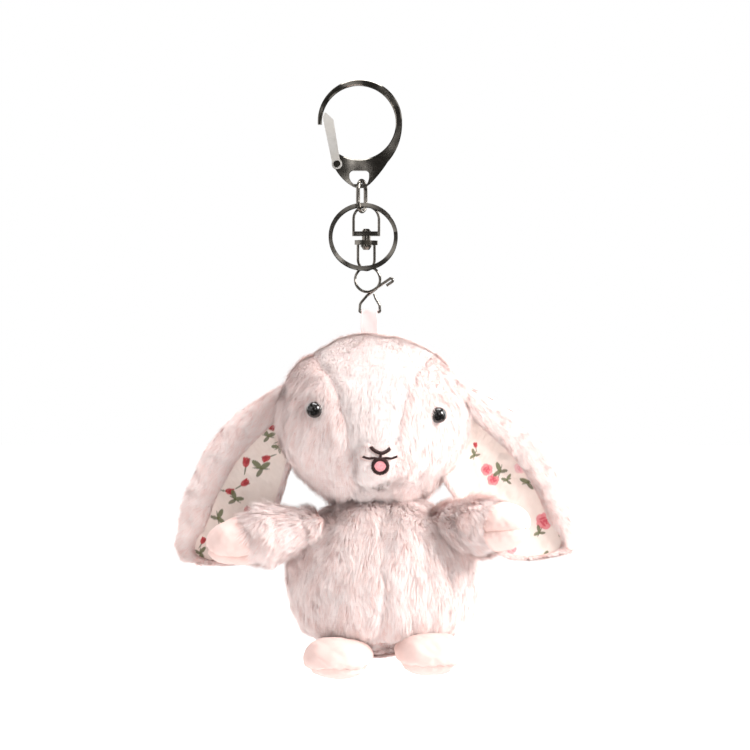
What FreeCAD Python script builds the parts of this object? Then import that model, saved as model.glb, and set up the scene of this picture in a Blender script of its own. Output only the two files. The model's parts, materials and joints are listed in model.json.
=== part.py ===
import FreeCAD, Part
import math
import os

V = FreeCAD.Vector

# Plush rabbit keychain, in millimetres, at its real size.
# +Z is up and the rabbit faces -Y. "Left" and "right" are as seen from the front, so left is -X.
# The origin is the centre of the round opening of the snap clip that the whole keychain hangs from.

# ---- snap clip -------------------------------------------------------------------------------
CLIP_INNER_R = 13.4
CLIP_DEPTH = 3.2
CLIP_EDGE_BEVEL = 0.4
CLIP_LONG_EDGE = 12.0
HOOK_END_ANGLE = 183.0
EYE_TOP_Z = -17.4
EYE_BAR_Z = -22.95
EYE_BAR_HALF = 0.7
EYE_BAR_HALF_DEPTH = 0.75
EYE_BAR_X = (-3.6, 3.9)
EYE_BAR_NOTCH_Z = (-25.0, -21.0)

# ---- gate of the clip ------------------------------------------------------------------------
GATE_PIVOT = V(-7.9, 0, -15.0)
GATE_LENGTH = 19.0
GATE_LEAN_DEG = 11.7
GATE_DEPTH = 3.1
GATE_OUTER = 1.65
GATE_SHEET = 0.5
GATE_EAR_R = 1.9
GATE_INNER = (1.3, 2.0)
GATE_TAPER = 3.0
GATE_TIP_CHAMFER = V(0.9, 0, 1.6)
GATE_TIP_INNER = -0.25
GATE_SLOT_SIDE = 0.2
GATE_TONGUE_SIDE = 0.15
GATE_SLOT = ((-12.0, 0.0), (-20.0, -9.0))
GATE_PIN_R = 0.7
GATE_PIN_CLEARANCE = 0.06
GATE_PIN_HEAD_R = 1.25
GATE_PIN_HEAD = 0.35
SPRING_WIRE_R = 0.28
GATE_OPEN_DEG = 28.0

# ---- oval link and split ring ----------------------------------------------------------------
LINK_X = 1.1
LINK_TURN_DEG = 23.4
LINK_WIRE_R = 0.75
LINK_BEND_R = 3.4
LINK_TOP_Z = -21.05
LINK_BOTTOM_Z = -32.1
RING_OUTER_R = 12.5
RING_BAND = 1.4
RING_COIL = 0.8
RING_COIL_GAP = 0.05
RING_CENTRE_X = 1.6
RING_TOP = V(RING_CENTRE_X, -0.6, -29.9)
RING_TILT_DEG = 12.0
RING_END_DEG = 38.0
RING_RAMP_DEG = 30.0

# ---- swivel ----------------------------------------------------------------------------------
SWIVEL_X = 2.7
SWIVEL_Y = 0.95
YOKE_WIRE_R = 0.5
UPPER_YOKE_HALF = 4.6
UPPER_YOKE_TOP_Z = -30.2
UPPER_PLATE_Z = (-41.0, -39.4)
LOWER_PLATE_Z = (-44.2, -42.6)
LOWER_COLLAR_Z = -44.9
LOWER_YOKE_HALF = 3.9
LOWER_YOKE_BOTTOM_Z = -53.3
LOWER_YOKE_TURN_DEG = 40.0
PLATE_DEPTH = 3.8
RIVET_R = 1.1
RIVET_CLEARANCE = 0.07
RIVET_HEAD_R = 1.8
RIVET_SHOULDER_R = 1.6
RIVET_HEAD = 1.0
SPIN_GAP = 0.1

# ---- bent wire clasp -------------------------------------------------------------------------
CLASP_CENTRE = V(3.2, SWIVEL_Y, -56.7)
CLASP_TURN_DEG = -12.0
CLASP_LOOP_R = 4.55
CLASP_WIRE_R = 0.5
CLASP_CROSS_Y = 0.6
CLASP_BAR_DROP = 11.9
CLASP_BAR_X = (-3.0, 4.6)

# ---- ribbon ----------------------------------------------------------------------------------
RIBBON_WIDTH = 6.1
RIBBON_PLY = 0.45
RIBBON_LOOP_R = 0.62
RIBBON_FOOT_Z = -79.0

# ---- space around every soft part ------------------------------------------------------------
SOFT_X = (-60.0, 80.0)
SOFT_Y = (-60.0, 60.0)
SOFT_Z = (-210.0, -60.0)

# ---- fabric ----------------------------------------------------------------------------------
FUR_SKIN = 1.2
VELOUR_SKIN = 0.8
STUFFING_GAP = 0.1
JOINT_GAP = 0.4

# ---- head ------------------------------------------------------------------------------------
HEAD_CENTRE = V(5.1, 0, -107.0)
HEAD_HALF_WIDTH = 35.5
HEAD_RADIUS = 31.9
HEAD_BACK_Y = 8.0
GUSSET_HALF_WIDTH = 10.5
MUZZLE_CENTRE = V(7.3, -22.0, -122.0)
MUZZLE_SEMI = V(13.0, 12.0, 10.0)
NECK_Z = -136.5
NECK_GAP = 0.05

# ---- face ------------------------------------------------------------------------------------
EYE_PLACES = {"left": (-15.5, -103.7), "right": (28.3, -105.6)}
EYE_BEAD_R = 2.9
EYE_SHANK_R = 0.9
EYE_SHANK_LENGTH = 5.0
EYE_SEAT = 0.6
WASHER_R = 4.0
WASHER_THICKNESS = 0.8
WASHER_DEPTH = 2.3
THREAD_WIDTH = 1.0
THREAD_RISE = 0.6
NOSE_ARC = (V(4.5, 0, -117.3), V(7.9, 0, -119.3), V(11.1, 0, -118.0))
MOUTH_CENTRE = V(7.7, 0, -124.0)
MOUTH_R = 3.1
MOUTH_LINE_Z = -120.7
MOUTH_LINE_X = (1.7, 13.5)

# ---- body and tail ---------------------------------------------------------------------------
BODY_CENTRE = V(8.8, 0, -163.9)
BODY_HALF_WIDTH = 35.6
BODY_RADIUS = 31.0
BODY_HALF_DEPTH = 30.5
BODY_BASE_Z = -188.0
TAIL_CENTRE = V(8.8, 30.0, -180.0)
TAIL_R = 9.0

# ---- arms ------------------------------------------------------------------------------------
SHOULDER = {"left": V(-19.5, -13.0, -146.5), "right": V(33.0, -13.0, -145.0)}
PAW_CENTRE = {"left": V(-43.2, -15.0, -151.5), "right": V(50.5, -27.5, -146.5)}
ARM_ROOT_R = 9.0
WAIST_ANGLE = math.radians(42.0)
SLEEVE_OUT = 14.0
SLEEVE_R = 10.4
CUFF_OUT = 19.5
CUFF_R = 8.4
PAW_HALF = 11.6
PAW_R = 8.8

# ---- feet ------------------------------------------------------------------------------------
FOOT_CENTRE = {"left": V(-6.8, -20.0, -192.7), "right": V(24.7, -20.0, -191.4)}
FOOT_SEMI = V(11.8, 15.0, 6.2)
FOOT_SPLAY_DEG = {"left": 12.0, "right": -12.0}
SOLE_BELOW = 1.5

# ---- ears ------------------------------------------------------------------------------------
EAR_PIVOT_OUT = 28.0
EAR_PIVOT_Z = -100.0
EAR_ROOT_R = 10.0
EAR_FRONT_Y = -2.5
EAR_THICKNESS = 6.0
EAR_RIM = 7.0
LINING_THICKNESS = 0.8
LINING_POCKET = 1.6
EAR_IN_DEG = 3
EAR_OUT_DEG = 65
RIGHT_EAR_LIFT_DEG = 4.0


# ---- general shapes --------------------------------------------------------------------------

def box(x, y, z):
    """Box between the low and high values given for each axis."""
    size = (x[1] - x[0], y[1] - y[0], z[1] - z[0])
    return Part.makeBox(size[0], size[1], size[2], V(x[0], y[0], z[0]))


def cylinder(base, radius, height, axis=V(0, 0, 1)):
    return Part.makeCylinder(radius, height, base, axis)


def line(start, end):
    return Part.LineSegment(start, end).toShape()


def arc(start, middle, end):
    return Part.Arc(start, middle, end).toShape()


def extrude_outline(edges, depth):
    """Solid made from a closed outline in the XZ plane, centred on y = 0."""
    face = Part.Face(Part.Wire(edges))
    face.translate(V(0, -depth / 2, 0))
    return face.extrude(V(0, depth, 0))


def round_wire(edges, radius):
    """Round wire bent along smooth connected edges."""
    path = Part.Wire(edges)
    first = path.OrderedEdges[0]
    start = path.OrderedVertexes[0].Point
    along = first.tangentAt(first.FirstParameter)
    section = Part.Wire(Part.makeCircle(radius, start, along))
    return path.makePipeShell([section], True, False)


def rounded_run(points, radii):
    """Straight runs through the points, joined by tangent arcs of the given radii."""
    edges = []
    at = points[0]
    for before, corner, after, radius in zip(points, points[1:], points[2:], radii):
        inward = (before - corner).normalize()
        outward = (after - corner).normalize()
        half = inward.getAngle(outward) / 2
        reach = radius / math.tan(half)
        middle_way = (inward + outward).normalize()
        enter = corner + inward * reach
        leave = corner + outward * reach
        middle = corner + middle_way * (radius / math.sin(half) - radius)
        edges += [line(at, enter), arc(enter, middle, leave)]
        at = leave
    edges.append(line(at, points[-1]))
    return edges


def spheroid(centre, half_width, radius):
    """Ellipsoid of revolution about X."""
    curve = Part.Ellipse(V(0, 0, 0), half_width, radius).toShape(0, math.pi)
    chord = line(V(-half_width, 0, 0), V(half_width, 0, 0))
    solid = Part.Face(Part.Wire([curve, chord])).revolve(V(0, 0, 0), V(1, 0, 0), 360)
    solid.translate(centre)
    return solid


def ellipsoid(centre, semi):
    """Ellipsoid with its semi-axes along X, Y and Z."""
    matrix = FreeCAD.Matrix()
    matrix.scale(semi)
    solid = Part.makeSphere(1.0).transformGeometry(matrix)
    solid.translate(centre)
    return solid


def turned(shape, centre, axis, degrees):
    copy = shape.copy()
    copy.rotate(centre, axis, degrees)
    return copy


def shrunk(semi, inset):
    return V(semi.x - inset, semi.y - inset, semi.z - inset)


def angles(low, high, steps):
    return [low + (high - low) * i / steps for i in range(steps + 1)]


# ---- snap clip -------------------------------------------------------------------------------

def clip_outline():
    """Ring that runs from the hook end over the top and down into the solid base."""
    end = math.radians(HOOK_END_ANGLE)
    hook_inner = V(CLIP_INNER_R * math.cos(end), 0, CLIP_INNER_R * math.sin(end))
    hook_outer = hook_inner + V(-1.45, 0, 0)
    base_inner = V(-7.0, 0, -math.sqrt(CLIP_INNER_R ** 2 - 49.0))
    far = CLIP_INNER_R * math.sqrt(0.5)
    return [
        arc(hook_outer, V(0.3, 0, 15.65), V(15.7, 0, 0)),
        arc(V(15.7, 0, 0), V(14.4, 0, -7.7), V(10.4, 0, -14.3)),
        arc(V(10.4, 0, -14.3), V(7.7, 0, -18.1), V(4.2, 0, -22.0)),
        arc(V(4.2, 0, -22.0), V(1.2, 0, EYE_BAR_Z - EYE_BAR_HALF), V(-2.2, 0, -23.1)),
        arc(V(-2.2, 0, -23.1), V(-5.8, 0, -20.3), V(-8.6, 0, -16.6)),
        line(V(-8.6, 0, -16.6), V(-9.9, 0, -13.4)),
        line(V(-9.9, 0, -13.4), base_inner),
        arc(base_inner, V(far, 0, far), hook_inner),
        line(hook_inner, hook_outer),
    ]


def clip_eye():
    """Opening in the base that the oval link passes through, flat on top and round below."""
    low = EYE_BAR_Z + EYE_BAR_HALF
    return [
        line(V(-2.3, 0, EYE_TOP_Z), V(2.7, 0, EYE_TOP_Z)),
        arc(V(2.7, 0, EYE_TOP_Z), V(3.5, 0, -17.9), V(3.7, 0, -19.0)),
        arc(V(3.7, 0, -19.0), V(3.6, 0, -20.6), V(2.9, 0, low)),
        line(V(2.9, 0, low), V(-1.7, 0, low)),
        arc(V(-1.7, 0, low), V(-3.1, 0, -20.8), V(-3.4, 0, -19.0)),
        arc(V(-3.4, 0, -19.0), V(-3.1, 0, -17.9), V(-2.3, 0, EYE_TOP_Z)),
    ]


def gate_flange(margin):
    """Side of the gate in the XZ plane, from its pivot ear to its tip, leaning outwards."""
    outer = -GATE_OUTER - margin
    inner_low, inner_high = (across + margin for across in GATE_INNER)
    shoulder = GATE_LENGTH - GATE_TAPER
    tip = GATE_LENGTH + margin
    leaf = Part.Face(Part.makePolygon([
        V(outer, 0, 0), V(outer, 0, tip - GATE_TIP_CHAMFER.z), V(outer + GATE_TIP_CHAMFER.x, 0, tip),
        V(GATE_TIP_INNER - margin, 0, tip), V(inner_high, 0, shoulder), V(inner_low, 0, 0),
        V(outer, 0, 0)]))
    leaf = leaf.extrude(V(0, 1, 0))
    ear = cylinder(V(0, 0, 0), GATE_EAR_R + margin, 1, V(0, 1, 0))
    side = leaf.fuse(ear).removeSplitter()
    side.rotate(V(0, 0, 0), V(0, 1, 0), -GATE_LEAN_DEG)
    side.translate(GATE_PIVOT)
    return side


def placed_flange(margin, low, high):
    """The gate's side stretched to fill y from low to high."""
    matrix = FreeCAD.Matrix()
    matrix.scale(V(1, high - low, 1))
    side = gate_flange(margin).transformGeometry(matrix)
    side.translate(V(0, low, 0))
    return side


def clip_body():
    body = extrude_outline(clip_outline(), CLIP_DEPTH)
    rims = [e for e in body.Edges if abs(abs(e.CenterOfMass.y) - CLIP_DEPTH / 2) < 1e-6]
    long_rims = [e for e in rims if e.Length > CLIP_LONG_EDGE]
    body = body.makeChamfer(CLIP_EDGE_BEVEL, long_rims)
    body = body.cut(extrude_outline(clip_eye(), 2 * CLIP_DEPTH))
    far = CLIP_DEPTH
    for low, high in ((-far, -EYE_BAR_HALF_DEPTH), (EYE_BAR_HALF_DEPTH, far)):
        body = body.cut(box(EYE_BAR_X, (low, high), EYE_BAR_NOTCH_Z))
    tongue = GATE_DEPTH / 2 - GATE_SHEET - GATE_TONGUE_SIDE
    slot = box(GATE_SLOT[0], (-far, far), GATE_SLOT[1])
    for low, high in ((-far, -tongue), (tongue, far)):
        for degrees in angles(0, GATE_OPEN_DEG, 4):
            flange = placed_flange(GATE_SLOT_SIDE, low, high)
            body = body.cut(turned(flange, GATE_PIVOT, V(0, 1, 0), degrees).common(slot))
    return body.cut(cylinder(GATE_PIVOT - V(0, far, 0), GATE_PIN_R, 2 * far, V(0, 1, 0)))


def clip_gate():
    """Folded sheet channel: a side at the front and back, joined by a web on the outside."""
    half = GATE_DEPTH / 2
    channel = placed_flange(0, -half, half)
    hollow = box((GATE_SHEET - GATE_OUTER, 6), (-half + GATE_SHEET, half - GATE_SHEET), (3.0, 30))
    open_end = box((-4, 6), (-half + GATE_SHEET, half - GATE_SHEET), (-4, 3.0))
    for space in (hollow, open_end):
        space.rotate(V(0, 0, 0), V(0, 1, 0), -GATE_LEAN_DEG)
        space.translate(GATE_PIVOT)
        channel = channel.cut(space)
    bore_r = GATE_PIN_R + GATE_PIN_CLEARANCE
    return channel.cut(cylinder(GATE_PIVOT - V(0, 4, 0), bore_r, 8, V(0, 1, 0)))


def gate_pin():
    """Rivet through the gate's two ears and the tongue of the clip."""
    half = GATE_DEPTH / 2 + GATE_PIN_CLEARANCE
    pin = cylinder(GATE_PIVOT - V(0, half, 0), GATE_PIN_R, 2 * half, V(0, 1, 0))
    for y in (-half - GATE_PIN_HEAD, half):
        centre = V(GATE_PIVOT.x, y, GATE_PIVOT.z)
        pin = pin.fuse(cylinder(centre, GATE_PIN_HEAD_R, GATE_PIN_HEAD, V(0, 1, 0)))
    return pin.removeSplitter()


def gate_spring():
    """Bent spring wire that stands on the tongue inside the channel and pushes the gate shut."""
    points = [V(0.9, 0, 2.35), V(0.9, 0, 4.6), V(0.1, 0, 8.0), V(0.1, 0, 10.5)]
    spring = round_wire(rounded_run(points, [1.5, 1.5]), SPRING_WIRE_R)
    spring.rotate(V(0, 0, 0), V(0, 1, 0), -GATE_LEAN_DEG)
    spring.translate(GATE_PIVOT)
    return spring


# ---- link and split ring ---------------------------------------------------------------------

def connector_link():
    """Oval link: two straight sides and two round ends, turned about the vertical."""
    top = LINK_TOP_Z - LINK_BEND_R
    bottom = LINK_BOTTOM_Z + LINK_BEND_R
    r = LINK_BEND_R
    edges = [
        line(V(r, 0, bottom), V(r, 0, top)),
        arc(V(r, 0, top), V(0, 0, LINK_TOP_Z), V(-r, 0, top)),
        line(V(-r, 0, top), V(-r, 0, bottom)),
        arc(V(-r, 0, bottom), V(0, 0, LINK_BOTTOM_Z), V(r, 0, bottom)),
    ]
    link = round_wire(edges, LINK_WIRE_R)
    link.rotate(V(0, 0, 0), V(0, 0, 1), 90 - LINK_TURN_DEG)
    link.translate(V(LINK_X, 0, 0))
    return link


def ring_section(degrees, low):
    """Rectangular section of the split ring's wire at an angle, from y = low."""
    away = V(math.cos(math.radians(degrees)), 0, math.sin(math.radians(degrees)))
    inner = away * (RING_OUTER_R - RING_BAND) + V(0, low, 0)
    outer = away * RING_OUTER_R + V(0, low, 0)
    up = V(0, RING_COIL, 0)
    return Part.makePolygon([inner, outer, outer + up, inner + up, inner])


def key_ring():
    """Split ring: two flat coils side by side, joined by a ramp where each one ends."""
    pitch = RING_COIL + RING_COIL_GAP
    coils = []
    for low in (-pitch + RING_COIL_GAP / 2, RING_COIL_GAP / 2):
        face = Part.Face(ring_section(RING_END_DEG, low))
        coils.append(face.revolve(V(0, 0, 0), V(0, -1, 0), 360 - RING_RAMP_DEG))
    steps = 6
    sections = []
    for i in range(steps + 1):
        degrees = RING_END_DEG - RING_RAMP_DEG + RING_RAMP_DEG * i / steps
        sections.append(ring_section(degrees, -pitch + RING_COIL_GAP / 2 + pitch * i / steps))
    ramp = Part.makeLoft(sections, True, True)
    ring = coils[0].fuse([coils[1], ramp])
    reach = RING_OUTER_R - RING_BAND / 2
    ring.translate(RING_TOP - V(0, 0, reach))
    ring.rotate(RING_TOP, V(1, 0, 0), -RING_TILT_DEG)
    return ring


# ---- swivel ----------------------------------------------------------------------------------

def swivel_axis(z):
    return V(SWIVEL_X, SWIVEL_Y, z)


def yoke(half, bend_z, far_z, plate_z, bore_r, collar_z):
    """Wire arch that ends in a plate with the rivet's hole, about the swivel's own axis."""
    away = 1 if far_z > bend_z else -1
    middle = (plate_z[0] + plate_z[1]) / 2
    edges = [
        line(V(-half, 0, middle), V(-half, 0, bend_z)),
        arc(V(-half, 0, bend_z), V(0, 0, bend_z + away * half), V(half, 0, bend_z)),
        line(V(half, 0, bend_z), V(half, 0, middle)),
    ]
    wire = round_wire(edges, YOKE_WIRE_R)
    reach = half + YOKE_WIRE_R
    deep = PLATE_DEPTH / 2
    plate = box((-reach, reach), (-deep, deep), plate_z)
    upright = [e for e in plate.Edges if abs(e.tangentAt(e.FirstParameter).z) > 0.9]
    plate = plate.makeFillet(0.9, upright)
    shape = wire.fuse(plate)
    if collar_z:
        shape = shape.fuse(cylinder(V(0, 0, collar_z), 2.1, plate_z[0] - collar_z))
    low = min(plate_z[0], collar_z or 0) - 1
    return shape.removeSplitter().cut(cylinder(V(0, 0, low), bore_r, plate_z[1] + 1 - low))


def swivel_upper_yoke():
    bend_z = UPPER_YOKE_TOP_Z - UPPER_YOKE_HALF
    shape = yoke(UPPER_YOKE_HALF, bend_z, UPPER_YOKE_TOP_Z, UPPER_PLATE_Z, RIVET_R, None)
    shape.translate(swivel_axis(0))
    return shape


def swivel_lower_yoke():
    bend_z = LOWER_YOKE_BOTTOM_Z + LOWER_YOKE_HALF
    bore_r = RIVET_R + RIVET_CLEARANCE
    far_z = LOWER_YOKE_BOTTOM_Z
    shape = yoke(LOWER_YOKE_HALF, bend_z, far_z, LOWER_PLATE_Z, bore_r, LOWER_COLLAR_Z)
    shape.rotate(V(0, 0, 0), V(0, 0, 1), LOWER_YOKE_TURN_DEG)
    shape.translate(swivel_axis(0))
    return shape


def swivel_rivet():
    """Headed rivet: fixed in the upper plate, with the lower yoke turning freely on it."""
    foot = LOWER_COLLAR_Z - SPIN_GAP
    shoulder_z = LOWER_PLATE_Z[1] + SPIN_GAP
    top = UPPER_PLATE_Z[1]
    parts = [
        cylinder(swivel_axis(foot), RIVET_R, top - foot),
        cylinder(swivel_axis(shoulder_z), RIVET_SHOULDER_R, UPPER_PLATE_Z[0] - shoulder_z),
        Part.makeCone(RIVET_HEAD_R, RIVET_R, RIVET_HEAD, swivel_axis(top)),
        Part.makeCone(RIVET_R, RIVET_HEAD_R, RIVET_HEAD, swivel_axis(foot - RIVET_HEAD)),
    ]
    return parts[0].fuse(parts[1:]).removeSplitter()


# ---- wire clasp and ribbon -------------------------------------------------------------------

def loop_point(degrees, lean):
    """Point on the clasp's loop; lean moves it in depth from the top to the bottom."""
    x = CLASP_LOOP_R * math.cos(math.radians(degrees))
    z = CLASP_LOOP_R * math.sin(math.radians(degrees))
    return V(x, lean * (1 - z / CLASP_LOOP_R) / 2, z)


def loop_leaving(degrees, lean):
    """Direction of travel, clockwise from the front, where the wire leaves the loop."""
    step = 0.01
    return (loop_point(degrees - step, lean) - loop_point(degrees, lean)).normalize()


def place_clasp(shape):
    shape.rotate(V(0, 0, 0), V(0, 0, 1), CLASP_TURN_DEG)
    shape.translate(CLASP_CENTRE)
    return shape


def wire_clasp():
    """One wire: folded tail, full loop, left leg, bar through the ribbon, right leg."""
    front = V(0, -CLASP_CROSS_Y, 0)
    tail_deg = -56.0
    leg_deg = -54.0
    tail_start = V(loop_point(tail_deg, 0).x, 0, loop_point(tail_deg, 0).z) + front
    up = V(math.cos(math.radians(90 + tail_deg)), 0, math.sin(math.radians(90 + tail_deg)))
    across = V(up.z, 0, -up.x)
    fold_r = 0.7
    tail_end = tail_start + up * 7.0
    fold_end = tail_end + across * (2 * fold_r)
    fold_far = tail_end + across * fold_r + up * fold_r
    low = V(0, 0, -CLASP_LOOP_R) + front
    between = loop_point((tail_deg - 90) / 2, 0) + front
    leave = loop_point(leg_deg, CLASP_CROSS_Y)
    first_turn = leave + loop_leaving(leg_deg, CLASP_CROSS_Y) * 3.9
    left_foot = V(CLASP_BAR_X[0], 0, -CLASP_BAR_DROP)
    right_foot = V(CLASP_BAR_X[1], 0, -CLASP_BAR_DROP)
    legs = [leave, first_turn, V(-2.85, 0.3, -8.8), left_foot, right_foot,
            V(4.45, -0.1, -9.3), V(3.1, -0.3, -7.0), V(2.5, -0.45, -5.25)]
    edges = [line(fold_end - up * 2.4, fold_end), arc(fold_end, fold_far, tail_end),
             line(tail_end, tail_start), arc(tail_start, between, low),
             arc(low, loop_point(180, -CLASP_CROSS_Y), V(0, 0, CLASP_LOOP_R)),
             arc(V(0, 0, CLASP_LOOP_R), loop_point(18, CLASP_CROSS_Y), leave)]
    edges += rounded_run(legs, [1.6, 2.5, 0.6, 0.6, 1.8, 3.0])
    return place_clasp(round_wire(edges, CLASP_WIRE_R))


def ribbon_loop():
    """Ribbon folded over the clasp's bar, with both ends sewn into the top of the head."""
    outer = RIBBON_LOOP_R + RIBBON_PLY
    foot = RIBBON_FOOT_Z - CLASP_CENTRE.z + CLASP_BAR_DROP
    profile = cylinder(V(0, 0, 0), outer, RIBBON_WIDTH, V(1, 0, 0))
    profile = profile.fuse(box((0, RIBBON_WIDTH), (-outer, outer), (foot, 0)))
    hole = cylinder(V(0, 0, 0), RIBBON_LOOP_R, RIBBON_WIDTH, V(1, 0, 0))
    hole = hole.fuse(box((0, RIBBON_WIDTH), (-RIBBON_LOOP_R, RIBBON_LOOP_R), (-3.5, 0)))
    loop = profile.cut(hole).removeSplitter()
    middle = (CLASP_BAR_X[0] + CLASP_BAR_X[1]) / 2
    loop.translate(V(middle - RIBBON_WIDTH / 2, 0, -CLASP_BAR_DROP))
    return place_clasp(loop)


# ---- plain forms of the soft parts -----------------------------------------------------------

def head_form(inset):
    """Head with its muzzle, cut flat at the neck; inset moves its surface inwards."""
    head = spheroid(HEAD_CENTRE, HEAD_HALF_WIDTH - inset, HEAD_RADIUS - inset)
    head = head.fuse(ellipsoid(MUZZLE_CENTRE, shrunk(MUZZLE_SEMI, inset)))
    return head.common(box(SOFT_X, SOFT_Y, (NECK_Z + max(inset, 0), SOFT_Z[1])))


def body_form(inset):
    """Round body, flat at the neck and narrower from front to back than from side to side."""
    width = BODY_HALF_WIDTH - inset
    height = BODY_RADIUS - inset
    neck = NECK_Z - NECK_GAP - max(inset, 0) - BODY_CENTRE.z
    neck_angle = math.asin(neck / height)
    rim = V(width * math.cos(neck_angle), neck, 0)
    curve = Part.Ellipse(V(0, 0, 0), width, height).toShape(-math.pi / 2, neck_angle)
    outline = [curve, line(rim, V(0, neck, 0)), line(V(0, neck, 0), V(0, -height, 0))]
    body = Part.Face(Part.Wire(outline)).revolve(V(0, 0, 0), V(0, 1, 0), 360)
    body.rotate(V(0, 0, 0), V(1, 0, 0), 90)
    matrix = FreeCAD.Matrix()
    matrix.scale(V(1, (BODY_HALF_DEPTH - inset) / width, 1))
    body = body.transformGeometry(matrix)
    body.translate(BODY_CENTRE)
    return body


def ear_pivot(side):
    sign = -1 if side == "left" else 1
    return V(HEAD_CENTRE.x + sign * EAR_PIVOT_OUT, 0, EAR_PIVOT_Z)


def ear_outline(inset):
    """Long drooping leaf in the XZ plane for the left ear, measured outwards from the head."""
    def at(out, z):
        return V(HEAD_CENTRE.x - out, 0, z)
    face = Part.Face(Part.Wire([
        arc(at(31, -91), at(57, -111.5), at(70.5, -146)),
        arc(at(70.5, -146), at(70.0, -158.5), at(62, -162.6)),
        line(at(62, -162.6), at(46, -161.5)),
        arc(at(46, -161.5), at(42, -159.5), at(40, -155)),
        arc(at(40, -155), at(34, -138), at(29, -121)),
        line(at(29, -121), at(31, -91)),
    ]))
    if inset:
        face = face.makeOffset2D(-inset)
    return face


def ear_form(side, low, high, inset, with_root):
    """Leaf of the ear from y = low to y = high, clear of the head over its whole swing."""
    leaf = ear_outline(inset)
    leaf.translate(V(0, low, 0))
    leaf = leaf.extrude(V(0, high - low, 0))
    pivot = ear_pivot("left")
    if with_root:
        root = cylinder(pivot + V(0, low, 0), EAR_ROOT_R, high - low, V(0, 1, 0))
        leaf = leaf.fuse(root).removeSplitter()
    through = cylinder(V(pivot.x, SOFT_Y[0], pivot.z), EAR_ROOT_R, SOFT_Y[1] - SOFT_Y[0], V(0, 1, 0))
    shell = head_form(-JOINT_GAP).cut(through)
    for degrees in angles(-EAR_IN_DEG, EAR_OUT_DEG, 7):
        leaf = leaf.cut(turned(shell, pivot, V(0, 1, 0), -degrees))
    if side == "right":
        leaf = leaf.mirror(HEAD_CENTRE, V(1, 0, 0))
        leaf.rotate(ear_pivot("right"), V(0, 1, 0), -RIGHT_EAR_LIFT_DEG)
    return leaf


def ear_back(side):
    low = EAR_FRONT_Y
    back = ear_form(side, low, low + EAR_THICKNESS, 0, True)
    return back.cut(ear_lining(side, LINING_POCKET))


def ear_lining(side, thickness=LINING_THICKNESS):
    """Cotton lining in the hollow of the ear, inside the rolled rim."""
    high = EAR_FRONT_Y + LINING_POCKET
    return ear_form(side, high - thickness, high, EAR_RIM, False)


def along_arm(shape, side):
    """Place a shape that was made along +X from the shoulder."""
    reach = PAW_CENTRE[side] - SHOULDER[side]
    yaw = math.degrees(math.atan2(reach.y, reach.x))
    pitch = -math.degrees(math.asin(reach.z / reach.Length))
    shape.rotate(V(0, 0, 0), V(0, 1, 0), pitch)
    shape.rotate(V(0, 0, 0), V(0, 0, 1), yaw)
    shape.translate(SHOULDER[side])
    return shape


def sleeve_curve(inset):
    """Outline of the sleeve beside the arm's axis: ball root, waist, then the full sleeve."""
    ball = ARM_ROOT_R - inset
    waist = V(ball * math.cos(WAIST_ANGLE), ball * math.sin(WAIST_ANGLE), 0)
    cuff = V(CUFF_OUT, CUFF_R - inset, 0)
    return [arc(V(-ball, 0, 0), V(0, ball, 0), waist),
            arc(waist, V(SLEEVE_OUT, SLEEVE_R - inset, 0), cuff)]


def paw_curve(length, inset):
    """Outline of the paw beside the arm's axis, from the cuff to the rounded tip."""
    widest = V(length, PAW_R - inset, 0)
    tip = Part.Ellipse(V(length, 0, 0), PAW_HALF - inset, PAW_R - inset)
    return [line(V(CUFF_OUT, CUFF_R - inset, 0), widest), tip.toShape(0, math.pi / 2)]


def axis_turned(edges, degrees):
    """Solid turned about X from outline edges that are closed along the axis."""
    face = Part.Face(Part.Wire(Part.__sortEdges__(edges)))
    return face.revolve(V(0, 0, 0), V(1, 0, 0), degrees)


def foot_form(side, inset):
    foot = ellipsoid(V(0, 0, 0), shrunk(FOOT_SEMI, inset))
    foot.rotate(V(0, 0, 0), V(0, 0, 1), -FOOT_SPLAY_DEG[side])
    foot.translate(FOOT_CENTRE[side])
    return foot


# ---- head and face ---------------------------------------------------------------------------

def head_openings():
    """Everything that is let into the head: ear roots, ribbon and eyes."""
    openings = [ribbon_loop()]
    for side in ("left", "right"):
        start = ear_pivot(side) + V(0, EAR_FRONT_Y - JOINT_GAP, 0)
        depth = EAR_THICKNESS + 2 * JOINT_GAP
        openings.append(cylinder(start, EAR_ROOT_R + JOINT_GAP, depth, V(0, 1, 0)))
        openings.append(eye_bead(side))
    return openings


def head_panels():
    skin = head_form(0).cut(head_form(FUR_SKIN))
    x = HEAD_CENTRE.x
    seams = (x - GUSSET_HALF_WIDTH, x + GUSSET_HALF_WIDTH)
    front = (SOFT_Y[0], HEAD_BACK_Y)
    regions = {
        "head_gusset": box(seams, front, SOFT_Z),
        "head_side_left": box((SOFT_X[0], seams[0]), front, SOFT_Z),
        "head_side_right": box((seams[1], SOFT_X[1]), front, SOFT_Z),
        "head_back": box(SOFT_X, (HEAD_BACK_Y, SOFT_Y[1]), SOFT_Z),
    }
    openings = head_openings()
    panels = {name: skin.common(region).cut(openings) for name, region in regions.items()}
    recesses = [eye_recess(side, WASHER_DEPTH) for side in ("left", "right")]
    panels["head_stuffing"] = head_form(FUR_SKIN + STUFFING_GAP).cut(openings + recesses)
    return panels


def eye_axis(side):
    """Point on the face where the eye sits, and the direction out of the head there."""
    x, z = EYE_PLACES[side]
    dx = (x - HEAD_CENTRE.x) / HEAD_HALF_WIDTH
    dz = (z - HEAD_CENTRE.z) / HEAD_RADIUS
    y = -HEAD_RADIUS * math.sqrt(1 - dx * dx - dz * dz)
    out = V(dx / HEAD_HALF_WIDTH, y / HEAD_RADIUS ** 2, dz / HEAD_RADIUS).normalize()
    return V(x, y, z), out


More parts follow.
